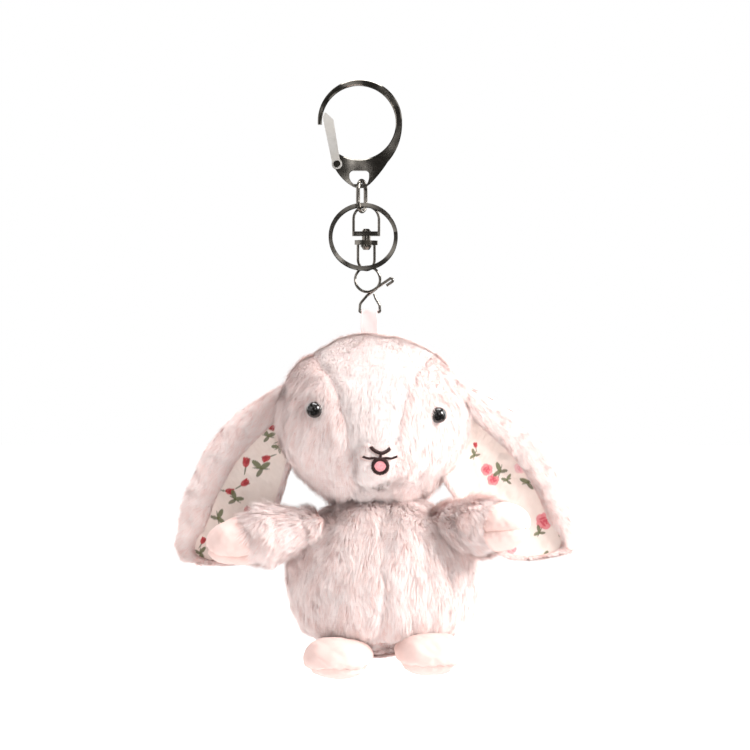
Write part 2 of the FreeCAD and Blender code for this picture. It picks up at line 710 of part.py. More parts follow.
def eye_bead(side):
    """Glossy bead with a moulded shank that passes through the fabric."""
    place, out = eye_axis(side)
    rim = math.sqrt(EYE_BEAD_R ** 2 - EYE_SEAT ** 2)
    outline = [
        arc(V(0, 0, EYE_BEAD_R), V(EYE_BEAD_R * math.sqrt(0.5), 0, EYE_BEAD_R * math.sqrt(0.5)),
            V(rim, 0, -EYE_SEAT)),
        line(V(rim, 0, -EYE_SEAT), V(EYE_SHANK_R, 0, -EYE_SEAT)),
        line(V(EYE_SHANK_R, 0, -EYE_SEAT), V(EYE_SHANK_R, 0, -EYE_SHANK_LENGTH)),
        line(V(EYE_SHANK_R, 0, -EYE_SHANK_LENGTH), V(0, 0, -EYE_SHANK_LENGTH)),
        line(V(0, 0, -EYE_SHANK_LENGTH), V(0, 0, EYE_BEAD_R)),
    ]
    bead = Part.Face(Part.Wire(outline)).revolve(V(0, 0, 0), V(0, 0, 1), 360)
    bead.Placement = FreeCAD.Placement(place, FreeCAD.Rotation(V(0, 0, 1), out))
    return bead


def eye_recess(side, height):
    """Disc under the fabric behind the eye."""
    place, out = eye_axis(side)
    return cylinder(place - out * WASHER_DEPTH, WASHER_R, height, out)


def eye_washer(side):
    """Locking washer pushed onto the eye's shank inside the head."""
    return eye_recess(side, WASHER_THICKNESS).cut(eye_bead(side))


def on_face(prisms):
    """Embroidery: prisms along Y trimmed to a layer on the face, standing a thread proud."""
    layer = head_form(-THREAD_RISE).cut(head_form(0))
    whole = prisms[0].fuse(prisms[1:]) if len(prisms) > 1 else prisms[0]
    return whole.common(layer)


def face_disc(centre, radius):
    return cylinder(V(centre.x, SOFT_Y[0], centre.z), radius, -SOFT_Y[0], V(0, 1, 0))


def face_prism(edges):
    """Prism through the front of the head from a closed outline in the XZ plane."""
    prism = Part.Face(Part.Wire(edges)).extrude(V(0, -SOFT_Y[0], 0))
    prism.translate(V(0, SOFT_Y[0], 0))
    return prism


def face_bar(start, end):
    """Straight row of thread with round ends between two points of the face."""
    side = V(start.z - end.z, 0, end.x - start.x).normalize() * (THREAD_WIDTH / 2)
    corners = [start + side, end + side, end - side, start - side, start + side]
    sides = [line(a, b) for a, b in zip(corners, corners[1:])]
    ends = [face_disc(start, THREAD_WIDTH / 2), face_disc(end, THREAD_WIDTH / 2)]
    return [face_prism(sides)] + ends


def nose_stitch():
    """Shallow nose arc and the short stem under it."""
    left, low, right = NOSE_ARC
    up = V(0, 0, THREAD_WIDTH / 2)
    band = face_prism([
        arc(left + up, low + up, right + up), line(right + up, right - up),
        arc(right - up, low - up, left - up), line(left - up, left + up),
    ])
    return on_face([band] + face_bar(low, V(low.x, 0, MOUTH_LINE_Z)))


def mouth_stitch():
    """Mouth line with the ring of the open round mouth under it."""
    left = V(MOUTH_LINE_X[0], 0, MOUTH_LINE_Z)
    right = V(MOUTH_LINE_X[1], 0, MOUTH_LINE_Z)
    ring = face_disc(MOUTH_CENTRE, MOUTH_R).cut(face_disc(MOUTH_CENTRE, MOUTH_R - THREAD_WIDTH))
    return on_face(face_bar(left, right) + [ring]).cut(nose_stitch())


def tongue_patch():
    """Pink satin stitch that fills the mouth."""
    return on_face([face_disc(MOUTH_CENTRE, MOUTH_R - THREAD_WIDTH)])


# ---- body, tail, feet ------------------------------------------------------------------------

def body_openings():
    """Sockets that the ball roots of the arms sit in."""
    return [Part.makeSphere(ARM_ROOT_R + JOINT_GAP, SHOULDER[s]) for s in ("left", "right")]


def body_panels():
    skin = body_form(0).cut(body_form(FUR_SKIN))
    x = BODY_CENTRE.x
    left = (SOFT_X[0], x)
    right = (x, SOFT_X[1])
    front = (SOFT_Y[0], 0)
    back = (0, SOFT_Y[1])
    upper = (BODY_BASE_Z, NECK_Z)
    regions = {
        "body_front_left": box(left, front, upper),
        "body_front_right": box(right, front, upper),
        "body_back_left": box(left, back, upper),
        "body_back_right": box(right, back, upper),
        "body_base": box(SOFT_X, SOFT_Y, (SOFT_Z[0], BODY_BASE_Z)),
    }
    openings = body_openings()
    panels = {name: skin.common(region).cut(openings) for name, region in regions.items()}
    panels["body_stuffing"] = body_form(FUR_SKIN + STUFFING_GAP).cut(openings)
    return panels


def tail_parts():
    body = body_form(0)
    inner_r = TAIL_R - FUR_SKIN
    cover = Part.makeSphere(TAIL_R, TAIL_CENTRE).cut(Part.makeSphere(inner_r, TAIL_CENTRE))
    core = Part.makeSphere(inner_r - STUFFING_GAP, TAIL_CENTRE)
    return {"tail": cover.cut(body), "tail_stuffing": core.cut(body)}


def foot_parts(side):
    body = body_form(0)
    skin = foot_form(side, 0).cut(foot_form(side, VELOUR_SKIN))
    seam_z = FOOT_CENTRE[side].z - SOLE_BELOW
    above = box(SOFT_X, SOFT_Y, (seam_z, SOFT_Z[1]))
    below = box(SOFT_X, SOFT_Y, (SOFT_Z[0], seam_z))
    return {
        "foot_top_" + side: skin.common(above).cut(body),
        "foot_sole_" + side: skin.common(below).cut(body),
        "foot_stuffing_" + side: foot_form(side, VELOUR_SKIN + STUFFING_GAP).cut(body),
    }


# ---- arms ------------------------------------------------------------------------------------

def arm_parts(side):
    """Sleeve, the two velour halves of the paw and the stuffing, turned about the arm's axis."""
    length = (PAW_CENTRE[side] - SHOULDER[side]).Length
    ball = ARM_ROOT_R
    tip = length + PAW_HALF
    cuff_edge = line(V(CUFF_OUT, CUFF_R, 0), V(CUFF_OUT, CUFF_R - FUR_SKIN, 0))
    root_edge = line(V(-ball, 0, 0), V(FUR_SKIN - ball, 0, 0))
    tip_edge = line(V(tip, 0, 0), V(tip - FUR_SKIN, 0, 0))
    sleeve = sleeve_curve(0) + sleeve_curve(FUR_SKIN) + [cuff_edge, root_edge]
    paw = paw_curve(length, 0) + paw_curve(length, FUR_SKIN) + [cuff_edge, tip_edge]
    inside = FUR_SKIN + STUFFING_GAP
    axis_edge = line(V(inside - ball, 0, 0), V(tip - inside, 0, 0))
    stuffing = sleeve_curve(inside) + paw_curve(length, inside) + [axis_edge]
    parts = {
        "arm_sleeve_": axis_turned(sleeve, 360),
        "paw_upper_": axis_turned(paw, 180),
        "paw_lower_": axis_turned(paw, -180),
        "arm_stuffing_": axis_turned(stuffing, 360),
    }
    return {name + side: along_arm(shape, side) for name, shape in parts.items()}


# ---- whole keychain --------------------------------------------------------------------------

def all_parts():
    parts = {
        "clip_body": clip_body(),
        "clip_gate": clip_gate(),
        "gate_pin": gate_pin(),
        "gate_spring": gate_spring(),
        "connector_link": connector_link(),
        "key_ring": key_ring(),
        "swivel_upper_yoke": swivel_upper_yoke(),
        "swivel_rivet": swivel_rivet(),
        "swivel_lower_yoke": swivel_lower_yoke(),
        "wire_clasp": wire_clasp(),
        "ribbon_loop": ribbon_loop(),
        "nose_stitch": nose_stitch(),
        "mouth_stitch": mouth_stitch(),
        "tongue_patch": tongue_patch(),
    }
    parts.update(head_panels())
    parts.update(body_panels())
    parts.update(tail_parts())
    for side in ("left", "right"):
        parts["eye_" + side] = eye_bead(side)
        parts["eye_washer_" + side] = eye_washer(side)
        parts["ear_back_" + side] = ear_back(side)
        parts["ear_lining_" + side] = ear_lining(side)
        parts.update(arm_parts(side))
        parts.update(foot_parts(side))
    return parts


def main():
    os.makedirs("parts", exist_ok=True)
    for name, shape in all_parts().items():
        solids = shape.Solids
        shape = solids[0] if len(solids) == 1 else Part.makeCompound(solids)
        shape.exportStep("parts/" + name + ".step")
        print(f"{name:22s} solids {len(solids)}  valid {shape.isValid()}  mm3 {shape.Volume:9.1f}")


main()
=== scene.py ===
import json
import math

import bmesh
import bpy
import numpy as np
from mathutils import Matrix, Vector
from mathutils.bvhtree import BVHTree


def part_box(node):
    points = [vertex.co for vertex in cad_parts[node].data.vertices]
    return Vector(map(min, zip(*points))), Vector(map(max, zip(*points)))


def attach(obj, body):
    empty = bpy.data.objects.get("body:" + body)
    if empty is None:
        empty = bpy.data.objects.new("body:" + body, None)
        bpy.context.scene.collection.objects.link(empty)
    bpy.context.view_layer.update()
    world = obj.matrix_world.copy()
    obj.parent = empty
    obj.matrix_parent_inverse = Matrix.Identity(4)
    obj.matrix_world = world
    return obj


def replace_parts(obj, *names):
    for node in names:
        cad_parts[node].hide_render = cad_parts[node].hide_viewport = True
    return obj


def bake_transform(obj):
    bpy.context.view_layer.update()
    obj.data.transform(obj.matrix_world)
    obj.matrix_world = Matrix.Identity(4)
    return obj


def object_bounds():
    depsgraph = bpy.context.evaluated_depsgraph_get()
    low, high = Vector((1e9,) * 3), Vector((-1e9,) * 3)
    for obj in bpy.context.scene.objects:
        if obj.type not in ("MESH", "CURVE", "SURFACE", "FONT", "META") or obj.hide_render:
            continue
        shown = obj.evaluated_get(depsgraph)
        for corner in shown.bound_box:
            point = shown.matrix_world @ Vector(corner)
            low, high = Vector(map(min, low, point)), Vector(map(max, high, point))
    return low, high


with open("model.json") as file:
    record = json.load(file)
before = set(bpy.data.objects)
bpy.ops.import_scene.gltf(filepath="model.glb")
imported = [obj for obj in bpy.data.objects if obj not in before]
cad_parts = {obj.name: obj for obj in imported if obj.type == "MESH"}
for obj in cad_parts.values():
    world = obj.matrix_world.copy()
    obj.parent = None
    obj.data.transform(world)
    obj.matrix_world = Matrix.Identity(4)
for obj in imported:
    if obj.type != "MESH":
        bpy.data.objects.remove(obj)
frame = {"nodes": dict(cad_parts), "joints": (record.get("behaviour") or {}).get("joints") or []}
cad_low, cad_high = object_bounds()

# Looks of the plush rabbit keychain. Lengths here are in millimetres and become metres when a mesh is made.
# "Left" and "right" are as seen from the front, so left is -X. The rabbit faces -Y.

MM = 0.001
SIDES = ("left", "right")
SIGN = {"left": -1.0, "right": 1.0}

FABRIC = 0.9
VELOUR = 0.7
HEAD_INSET = 2.0
BODY_INSET = 2.2
STUFFING_INSET = 1.6
SEAM_DEPTH = 0.85
SEAM_WIDTH = 2.2

BODY_RISE = 31.0
BODY_SQUARE = 2.25
BASE_ROWS = 24
FOOT_SEMI = (11.8, 15.0, 7.1)
FOOT_RISE = 1.4
FOOT_SPLAY = {"left": 12.0, "right": -12.0}
FACE_RISE = 0.6
RIGHT_EAR_LIFT = math.radians(4.0)


# ---- reading the frame -----------------------------------------------------------------------

def span(*nodes):
    """Lowest and highest corner of CAD nodes, in millimetres."""
    corners = [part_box(n) for n in nodes]
    low = np.min([np.array(c[0]) for c in corners], axis=0)
    high = np.max([np.array(c[1]) for c in corners], axis=0)
    return low / MM, high / MM


def middle(*nodes):
    """Centre of the box around CAD nodes."""
    low, high = span(*nodes)
    return (low + high) / 2


def mesh_points(mesh):
    """Points of a mesh, in metres."""
    points = np.zeros(len(mesh.vertices) * 3, np.float32)
    mesh.vertices.foreach_get("co", points)
    return points.reshape(-1, 3)


def node_points(node):
    """Points of a CAD node, in millimetres."""
    return mesh_points(frame["nodes"][node].data).astype(float) / MM


def joint_place(name):
    """Where a joint's axis passes, in millimetres."""
    joint = next(j for j in frame["joints"] if j["name"] == name)
    return np.array(joint["pos_m"], float) / MM


HEAD_LOW, HEAD_HIGH = span("head_gusset", "head_side_left", "head_side_right", "head_back")
HEAD_R = HEAD_HIGH[1]
HEAD_HALF = (HEAD_HIGH[0] - HEAD_LOW[0]) / 2
HEAD_CENTRE = np.array([(HEAD_HIGH[0] + HEAD_LOW[0]) / 2, 0.0, HEAD_HIGH[2] - HEAD_R])
HEAD_SEMI = np.array([HEAD_HALF, HEAD_R, HEAD_R])
MOUTH = middle("tongue_patch")
NOSE_LOW, NOSE_HIGH = span("nose_stitch")
MOUTH_LOW, MOUTH_HIGH = span("mouth_stitch")
MUZZLE_SEMI = np.array([13.0, 12.0, 10.0])
MUZZLE = np.array([MOUTH[0] - 0.4, HEAD_LOW[1] + MUZZLE_SEMI[1], MOUTH[2] + 2.0])
BODY_PANELS = ("body_front_left", "body_front_right", "body_back_left", "body_back_right")
BODY_LOW, BODY_HIGH = span("body_base", *BODY_PANELS)
BODY_CENTRE = np.array([(BODY_LOW[0] + BODY_HIGH[0]) / 2, 0.0, BODY_LOW[2] + BODY_RISE])
BODY_SEMI = np.array([(BODY_HIGH[0] - BODY_LOW[0]) / 2, BODY_HIGH[1], BODY_RISE])


# ---- vectors ---------------------------------------------------------------------------------

def unit(v):
    return v / np.maximum(np.linalg.norm(v, axis=-1, keepdims=True), 1e-9)


def smooth_step(x, low, high):
    t = np.clip((x - low) / (high - low), 0, 1)
    return t * t * (3 - 2 * t)


def nearest(points, marks):
    """Distance from each point to the nearest of the marks."""
    flat = points.reshape(-1, 3)
    best = np.full(len(flat), 1e9)
    for start in range(0, len(flat), 4000):
        part = flat[start:start + 4000]
        gap = part[:, None, :] - marks[None, :, :]
        best[start:start + 4000] = np.sqrt((gap ** 2).sum(2).min(1))
    return best.reshape(points.shape[:-1])


def wander(points, seed, wavelength, octaves=3):
    """Smooth noise from about -1 to 1, from a few seeded waves."""
    rng = np.random.default_rng(seed)
    total = np.zeros(points.shape[:-1])
    weight = 0.0
    for k in range(octaves):
        for _ in range(4):
            wave = unit(rng.normal(size=3)) * 2 * math.pi / (wavelength / 1.9 ** k)
            total += np.sin(points @ wave + rng.uniform(0, 2 * math.pi)) * 0.6 ** k
            weight += 0.6 ** k / 2
    return total / weight ** 0.5 / 1.6


# ---- meshes ----------------------------------------------------------------------------------

def placed(name, data):
    """New object in the scene for a mesh, light or camera."""
    obj = bpy.data.objects.new(name, data)
    bpy.context.scene.collection.objects.link(obj)
    return obj


def new_object(name, verts, faces):
    """Object from points in millimetres and faces, with doubled points merged and normals outward."""
    mesh = bpy.data.meshes.new(name)
    mesh.from_pydata((np.asarray(verts, float) * MM).tolist(), [], faces)
    work = bmesh.new()
    work.from_mesh(mesh)
    bmesh.ops.remove_doubles(work, verts=work.verts, dist=2e-6)
    bmesh.ops.recalc_face_normals(work, faces=work.faces)
    for face in work.faces:
        face.smooth = True
    work.to_mesh(mesh)
    work.free()
    return placed(name, mesh)


def grid_faces(rows, cols, offset=0, flip=False):
    index = np.arange(rows * cols).reshape(rows, cols) + offset
    quads = np.stack([index[:-1, :-1], index[:-1, 1:], index[1:, 1:], index[1:, :-1]], -1)
    quads = quads.reshape(-1, 4)
    return (quads[:, ::-1] if flip else quads).tolist()


def sheet_solid(outer, inner, open_edges=(True, True, True, True)):
    """Thin closed solid between two matching grids; open_edges says which of the first row, last row,
    first column and last column get a wall."""
    rows, cols = outer.shape[:2]
    count = rows * cols
    verts = np.concatenate([outer.reshape(-1, 3), inner.reshape(-1, 3)])
    faces = grid_faces(rows, cols) + grid_faces(rows, cols, count, True)
    index = np.arange(count).reshape(rows, cols)
    for wanted, border in zip(open_edges, (index[0], index[-1], index[:, 0], index[:, -1])):
        if wanted:
            faces += [[int(a), int(b), int(b) + count, int(a) + count]
                      for a, b in zip(border, border[1:])]
    return verts, faces


def grid_normals(points):
    """Outward normals of a grid whose columns close on themselves."""
    down = np.gradient(points, axis=0)
    ring = points[:, :-1]
    across = np.roll(ring, -1, axis=1) - np.roll(ring, 1, axis=1)
    across = np.concatenate([across, across[:, :1]], axis=1)
    normals = np.cross(across, down)
    middle_point = points.reshape(-1, 3).mean(0)
    if (normals * (points - middle_point)).sum() < 0:
        normals = -normals
    size = np.linalg.norm(normals, axis=-1)
    for row, beside in ((0, 1), (-1, -2)):
        if size[row].max() < 1e-6:
            normals[row] = normals[beside].mean(0)
    return unit(normals)


def sphere_ways(theta, columns):
    """Directions from pole to pole: theta is the angle from the top, and columns start at the front."""
    theta = theta[:, None]
    phi = np.linspace(0, 2 * math.pi, columns + 1)[None, :]
    return np.stack([np.sin(theta) * np.sin(phi), -np.sin(theta) * np.cos(phi), np.cos(theta) + 0 * phi], -1)


class Form:
    """Soft form as a grid of points from pole to pole, with its normals; columns close on themselves."""

    def __init__(self, points):
        self.points = points
        self.normals = grid_normals(points)

    def moved(self, depth):
        """Same form with its surface moved inwards by depth, a number or one value for each point."""
        depth = np.broadcast_to(np.asarray(depth, float), self.points.shape[:2])
        return Form(self.points - self.normals * depth[..., None])

    def panel(self, name, rows, cols, thickness, closed=False):
        """Closed thin piece of fabric that covers part of the form."""
        patch = (slice(rows[0], rows[1] + 1), slice(cols[0], cols[1] + 1))
        outer = self.points[patch]
        inner = outer - self.normals[patch] * thickness
        last = self.points.shape[0] - 1
        walls = (rows[0] > 0, rows[1] < last, not closed, not closed)
        return new_object(name, *sheet_solid(outer, inner, walls))

    def closed(self, name, step=2):
        points = self.points[::step, ::step]
        return new_object(name, points.reshape(-1, 3), grid_faces(*points.shape[:2]))


# ---- cloth simulation --------------------------------------------------------------------------

SIM_SCALE = 10.0
SIM_FRAMES = 14
SIM_PRESSURE = 4.0
SIM_GROWTH = 0.03
SIM_LARGEST_MOVE = 1.3


def puffed(form, held):
    """Simulated stuffed cover: pressure from inside blows the fabric out between its held seams, and
    the fabric is cut a little too large, so it wrinkles."""
    points = form.points
    rows, cols = points.shape[0], points.shape[1] - 1
    index = np.arange((rows - 2) * cols).reshape(rows - 2, cols) + 1
    number = np.concatenate([np.zeros((1, cols), int), index, np.full((1, cols), (rows - 2) * cols + 1)])
    number = np.concatenate([number, number[:, :1]], axis=1)
    places = np.concatenate([points[:1, 0], points[1:-1, :-1].reshape(-1, 3), points[-1:, 0]])
    quads = np.stack([number[:-1, :-1], number[:-1, 1:], number[1:, 1:], number[1:, :-1]], -1)
    faces = [list(dict.fromkeys(q)) for q in quads.reshape(-1, 4).tolist()]
    obj = new_object("puffed", places * SIM_SCALE, faces)
    group = obj.vertex_groups.new(name="held")
    group.add(np.unique(number[held]).tolist(), 1.0, "REPLACE")
    cloth = obj.modifiers.new("cloth", "CLOTH").settings
    cloth.quality = 5
    cloth.use_pressure = True
    cloth.uniform_pressure_force = SIM_PRESSURE
    cloth.effector_weights.gravity = 0.0
    cloth.vertex_group_mass = "held"
    cloth.shrink_min = -SIM_GROWTH
    scene = bpy.context.scene
    for frame_number in range(1, SIM_FRAMES + 1):
        scene.frame_set(frame_number)
    made = obj.evaluated_get(bpy.context.evaluated_depsgraph_get()).to_mesh()
    move = mesh_points(made) / (SIM_SCALE * MM) - places
    bpy.data.objects.remove(obj)
    scene.frame_set(1)
    size = np.linalg.norm(move, axis=1, keepdims=True)
    move = move * np.minimum(1, SIM_LARGEST_MOVE / np.maximum(size, 1e-6))
    return Form(points + move[number])


# ---- materials -------------------------------------------------------------------------------

def linear(red, green, blue):
    """Scene-linear colour, with alpha, from 0 to 255 values."""
    def one(c):
        c /= 255
        return c / 12.92 if c <= 0.04045 else ((c + 0.055) / 1.055) ** 2.4
    return (one(red), one(green), one(blue), 1.0)


class Nodes:
    """Short way to build a material's node tree."""

    def __init__(self, name, **settings):
        self.material = bpy.data.materials.new(name)
        self.material.use_nodes = True
        self.tree = self.material.node_tree
        self.shader = self.tree.nodes["Principled BSDF"]
        for socket, value in settings.items():
            self.shader.inputs[socket.replace("_", " ")].default_value = value

    def add(self, kind, **values):
        node = self.tree.nodes.new("ShaderNode" + kind)
        for key, value in values.items():
            if key in node.inputs:
                node.inputs[key].default_value = value
            else:
                setattr(node, key, value)
        return node

    def link(self, output, target):
        self.tree.links.new(output, target)

    def noise(self, scale, detail=3.0):
        node = self.add("TexNoise", Scale=scale, Detail=detail)
        self.link(self.coordinates(), node.inputs["Vector"])
        return node.outputs["Fac"]

    def coordinates(self):
        if not hasattr(self, "place"):
            self.place = self.add("TexCoord").outputs["Object"]
        return self.place

    def ramp(self, factor, stops):
        node = self.add("ValToRGB")
        elements = node.color_ramp.elements
        for k, (at, colour) in enumerate(stops):
            element = elements[k] if k < 2 else elements.new(at)
            element.position = at
            element.color = colour
        self.link(factor, node.inputs["Fac"])
        return node.outputs["Color"]

    def mix(self, factor, a, b, blend="MIX"):
        node = self.add("Mix", data_type="RGBA", blend_type=blend)
        for value, socket in ((factor, 0), (a, 6), (b, 7)):
            if isinstance(value, (int, float, tuple)):
                node.inputs[socket].default_value = value
            else:
                self.link(value, node.inputs[socket])
        return node.outputs[2]

    def math(self, operation, a, b=0.0):
        node = self.add("Math", operation=operation)
        for socket, value in enumerate((a, b)):
            if isinstance(value, (int, float)):
                node.inputs[socket].default_value = value
            else:
                self.link(value, node.inputs[socket])
        return node.outputs[0]

    def mottled(self, scale, detail, shade, light):
        """Base colour that drifts between two tones."""
        self.base(self.ramp(self.noise(scale, detail), [(0.3, shade), (0.7, light)]))

    def base(self, colour):
        self.link(colour, self.shader.inputs["Base Color"])

    def roughness(self, factor, low, high):
        node = self.add("MapRange")
        node.inputs["To Min"].default_value = low
        node.inputs["To Max"].default_value = high
        self.link(factor, node.inputs["Value"])
        self.link(node.outputs["Result"], self.shader.inputs["Roughness"])

    def bump(self, height, strength, distance):
        node = self.add("Bump", Strength=strength, Distance=distance)
        self.link(height, node.inputs["Height"])
        self.link(node.outputs["Normal"], self.shader.inputs["Normal"])


def metal_material(name, dark, light, rough, ripple=0.5):
    """Bright plating with faint polishing marks, small changes of tone and a slightly uneven surface."""
    n = Nodes(name, Metallic=1.0)
    n.mottled(180.0, 4.0, dark, light)
    n.roughness(n.noise(900.0, 2.0), *rough)
    marks = n.math("MULTIPLY", n.noise(1500.0, 2.0), 0.0015)
    n.bump(n.math("ADD", marks, n.noise(48.0, 1.0)), ripple, 0.004)
    return n.material


def fur_material(name, root, body, tip):
    """Pile: darker and pinker at the root and paler at the tip, which paints the shade deep in the pile, with
    a small change from tuft to tuft.
    """
    n = Nodes(name, Roughness=0.85, Sheen_Weight=0.25, Sheen_Roughness=0.5)
    n.shader.inputs["Specular IOR Level"].default_value = 0.15
    n.shader.inputs["Sheen Tint"].default_value = linear(255, 240, 236)
    uv = n.add("UVMap")
    uv.uv_map = "OFBake"
    parts = n.add("SeparateXYZ")
    n.link(uv.outputs["UV"], parts.inputs["Vector"])
    # painted shade: the root end of each blade takes the darker, pinker root colour, fading to the pale tip
    along = n.ramp(parts.outputs["Y"], [(0.0, root), (1.0, tip), (0.45, body)])
    tuft = n.ramp(parts.outputs["X"], [(0.0, linear(230, 200, 194)), (0.75, linear(255, 255, 255)),
                                      (0.22, linear(248, 230, 226))])
    n.base(n.mix(0.85, along, tuft, "MULTIPLY"))
    return n.material


def knit_material(name, light, shade):
    """Backing of the pile: fine knit with uneven tone."""
    n = Nodes(name, Roughness=0.9, Sheen_Weight=0.2)
    n.base(n.ramp(n.noise(260.0, 4.0), [(0.25, shade), (0.75, light)]))
    n.bump(n.noise(2600.0, 2.0), 0.4, 0.0003)
    return n.material


def velour_material(name, light, shade):
    """Short brushed nap, with painted sheen: patches lighter and darker where it was stroked one way or the
    other.
    """
    n = Nodes(name, Roughness=0.85, Sheen_Weight=0.6, Sheen_Roughness=0.4)
    n.shader.inputs["Sheen Tint"].default_value = linear(255, 236, 230)
    stroke_sheen_and_relief = n.noise(170.0, 4.0)
    nap = n.noise(4200.0, 2.0)
    # painted sheen: the base colour goes lighter and darker in patches where the nap was stroked one way or
    # the other
    tone = n.ramp(stroke_sheen_and_relief, [(0.3, shade), (0.7, light)])
    n.base(n.mix(n.math("MULTIPLY", nap, 0.35), tone, shade))
    n.roughness(nap, 0.75, 0.98)
    n.bump(n.math("ADD", nap, n.math("MULTIPLY", stroke_sheen_and_relief, 2.0)), 0.35, 0.0003)
    return n.material


def printed_cotton_material(name):
    """Plain-weave cotton: the print is a colour attribute, under fine threads both ways."""
    n = Nodes(name, Roughness=0.85, Sheen_Weight=0.1)
    printed = n.add("Attribute", attribute_name="print").outputs["Color"]
    waves = []
    for direction in ("X", "Z"):
        wave = n.add("TexWave", Scale=900.0, Distortion=1.2, bands_direction=direction)
        n.link(n.coordinates(), wave.inputs["Vector"])
        waves.append(wave.outputs["Fac"])
    weave = n.math("MULTIPLY", waves[0], waves[1])
    shade = n.ramp(weave, [(0.0, linear(226, 218, 214)), (0.6, linear(255, 255, 255))])
    cloudy = n.ramp(n.noise(120.0), [(0.2, linear(244, 236, 232)), (0.8, linear(255, 255, 255))])
    n.base(n.mix(0.6, n.mix(0.5, printed, shade, "MULTIPLY"), cloudy, "MULTIPLY"))
    n.bump(weave, 0.3, 0.0002)
    return n.material


def satin_material(name):
    """Satin ribbon: fine ribs along its length and a soft gloss."""
    n = Nodes(name, Roughness=0.38, Sheen_Weight=0.3)
    wave = n.add("TexWave", Scale=1100.0, Distortion=0.6, bands_direction="X")
    n.link(n.coordinates(), wave.inputs["Vector"])
    tone = n.ramp(n.noise(140.0), [(0.3, linear(244, 220, 219)), (0.7, linear(252, 234, 233))])
    n.base(n.mix(n.math("MULTIPLY", wave.outputs["Fac"], 0.25), tone, linear(240, 210, 208)))
    n.roughness(wave.outputs["Fac"], 0.3, 0.5)
    n.bump(wave.outputs["Fac"], 0.25, 0.0001)
    return n.material


def thread_material(name, light, shade, rough):
    """Twisted embroidery thread."""
    n = Nodes(name, Sheen_Weight=0.03)
    n.mottled(1800.0, 3.0, shade, light)
    n.roughness(n.noise(2400.0), rough, rough + 0.25)
    n.bump(n.noise(3200.0), 0.3, 0.0001)
    return n.material


def plastic_material(name, light, shade, rough, coat):
    """Moulded plastic, glossy where it has a coat."""
    n = Nodes(name, Coat_Weight=coat, Coat_Roughness=0.04)
    n.mottled(300.0, 4.0, shade, light)
    n.roughness(n.noise(500.0), rough, rough + 0.12)
    n.bump(n.noise(900.0), 0.04, 0.0001)
    return n.material


def stuffing_material(name):
    """Loose white fibre."""
    n = Nodes(name, Roughness=0.95, Sheen_Weight=0.3)
    fibres = n.noise(1400.0, 6.0)
    n.base(n.ramp(fibres, [(0.3, linear(236, 232, 230)), (0.7, linear(252, 250, 248))]))
    n.bump(fibres, 0.8, 0.0006)
    return n.material


CHAIN = metal_material("plated_metal", linear(112, 108, 102), linear(146, 141, 135), (0.10, 0.20), 0.7)
GATE = metal_material("pressed_gate", linear(236, 231, 225), linear(250, 247, 244), (0.42, 0.52), 0.5)
STEEL = metal_material("spring_steel", linear(150, 148, 146), linear(205, 202, 198), (0.12, 0.25))
# The first colour is painted shade at the roots of the pile; the others are the pile's own pale pink.
FUR = fur_material("fur_pile", linear(240, 178, 170), linear(255, 238, 235), linear(255, 250, 248))
KNIT = knit_material("fur_backing", linear(254, 230, 225), linear(246, 210, 204))
VELOUR_FACE = velour_material("paw_velour", linear(248, 219, 212), linear(240, 206, 198))
COTTON = printed_cotton_material("floral_cotton")
SATIN = satin_material("satin_ribbon")
THREAD = thread_material("embroidery_thread", linear(62, 26, 24), linear(30, 11, 10), 0.6)
PINK_THREAD = thread_material("tongue_thread", linear(246, 176, 180), linear(228, 140, 148), 0.5)
BEAD = plastic_material("eye_bead", linear(14, 10, 9), linear(6, 5, 5), 0.10, 0.6)
WASHER = plastic_material("washer_plastic", linear(244, 242, 238), linear(226, 224, 220), 0.4, 0.0)
FILL = stuffing_material("stuffing_fibre")


def dress(obj, material):
    """Give a piece its material."""
    obj.data.materials.clear()
    obj.data.materials.append(material)
    return obj


# ---- fur -------------------------------------------------------------------------------------

BLADE_WIDTH = 0.22
BLADE_ROOT_DEPTH = 0.25
LOOSE_SHARE = 0.07
LOOSE_RISE = 0.5
BEND_AT = 0.45
TOWARDS_LIGHT = np.array([0.3, -0.5, 0.8])


def scatter(points, normals, count, rng):
    """Random places on a grid of points, evenly by area, with their normals."""
    a, b = points[:-1, :-1], points[:-1, 1:]
    c, d = points[1:, :-1], points[1:, 1:]
    area = np.linalg.norm(np.cross(b - a, c - a), axis=-1) + np.linalg.norm(np.cross(b - d, c - d), axis=-1)
    weights = np.cumsum(area.reshape(-1))
    cell = np.searchsorted(weights, rng.uniform(0, weights[-1], count))
    i, j = np.divmod(cell, points.shape[1] - 1)
    u, v = rng.uniform(size=(2, count, 1))
    def at(grid):
        return ((grid[i, j] * (1 - u) + grid[i + 1, j] * u) * (1 - v)
                + (grid[i, j + 1] * (1 - u) + grid[i + 1, j + 1] * u) * v)
    return at(points), unit(at(normals))


def tuft_of(points, size, seed, stretch):
    """Number of the tuft that each point belongs to: cells of a warped, turned lattice."""
    rng = np.random.default_rng(seed)
    points = points / np.array(stretch)
    axes, _ = np.linalg.qr(rng.normal(size=(3, 3)))
    warp = np.stack([wander(points, seed + k, 9.0, 2) for k in range(3)], -1) * 1.4
    cell = np.floor((points @ axes + warp) / size).astype(np.int64)
    key = cell[:, 0] * 73856093 ^ cell[:, 1] * 19349663 ^ cell[:, 2] * 83492791
    return np.unique(key, return_inverse=True)[1].reshape(-1)


def tuft_mean(values, tuft):
    """Mean place of each point's tuft."""
    count = np.bincount(tuft)
    total = np.stack([np.bincount(tuft, values[:, k]) for k in range(3)], -1)
    return (total / count[:, None])[tuft]


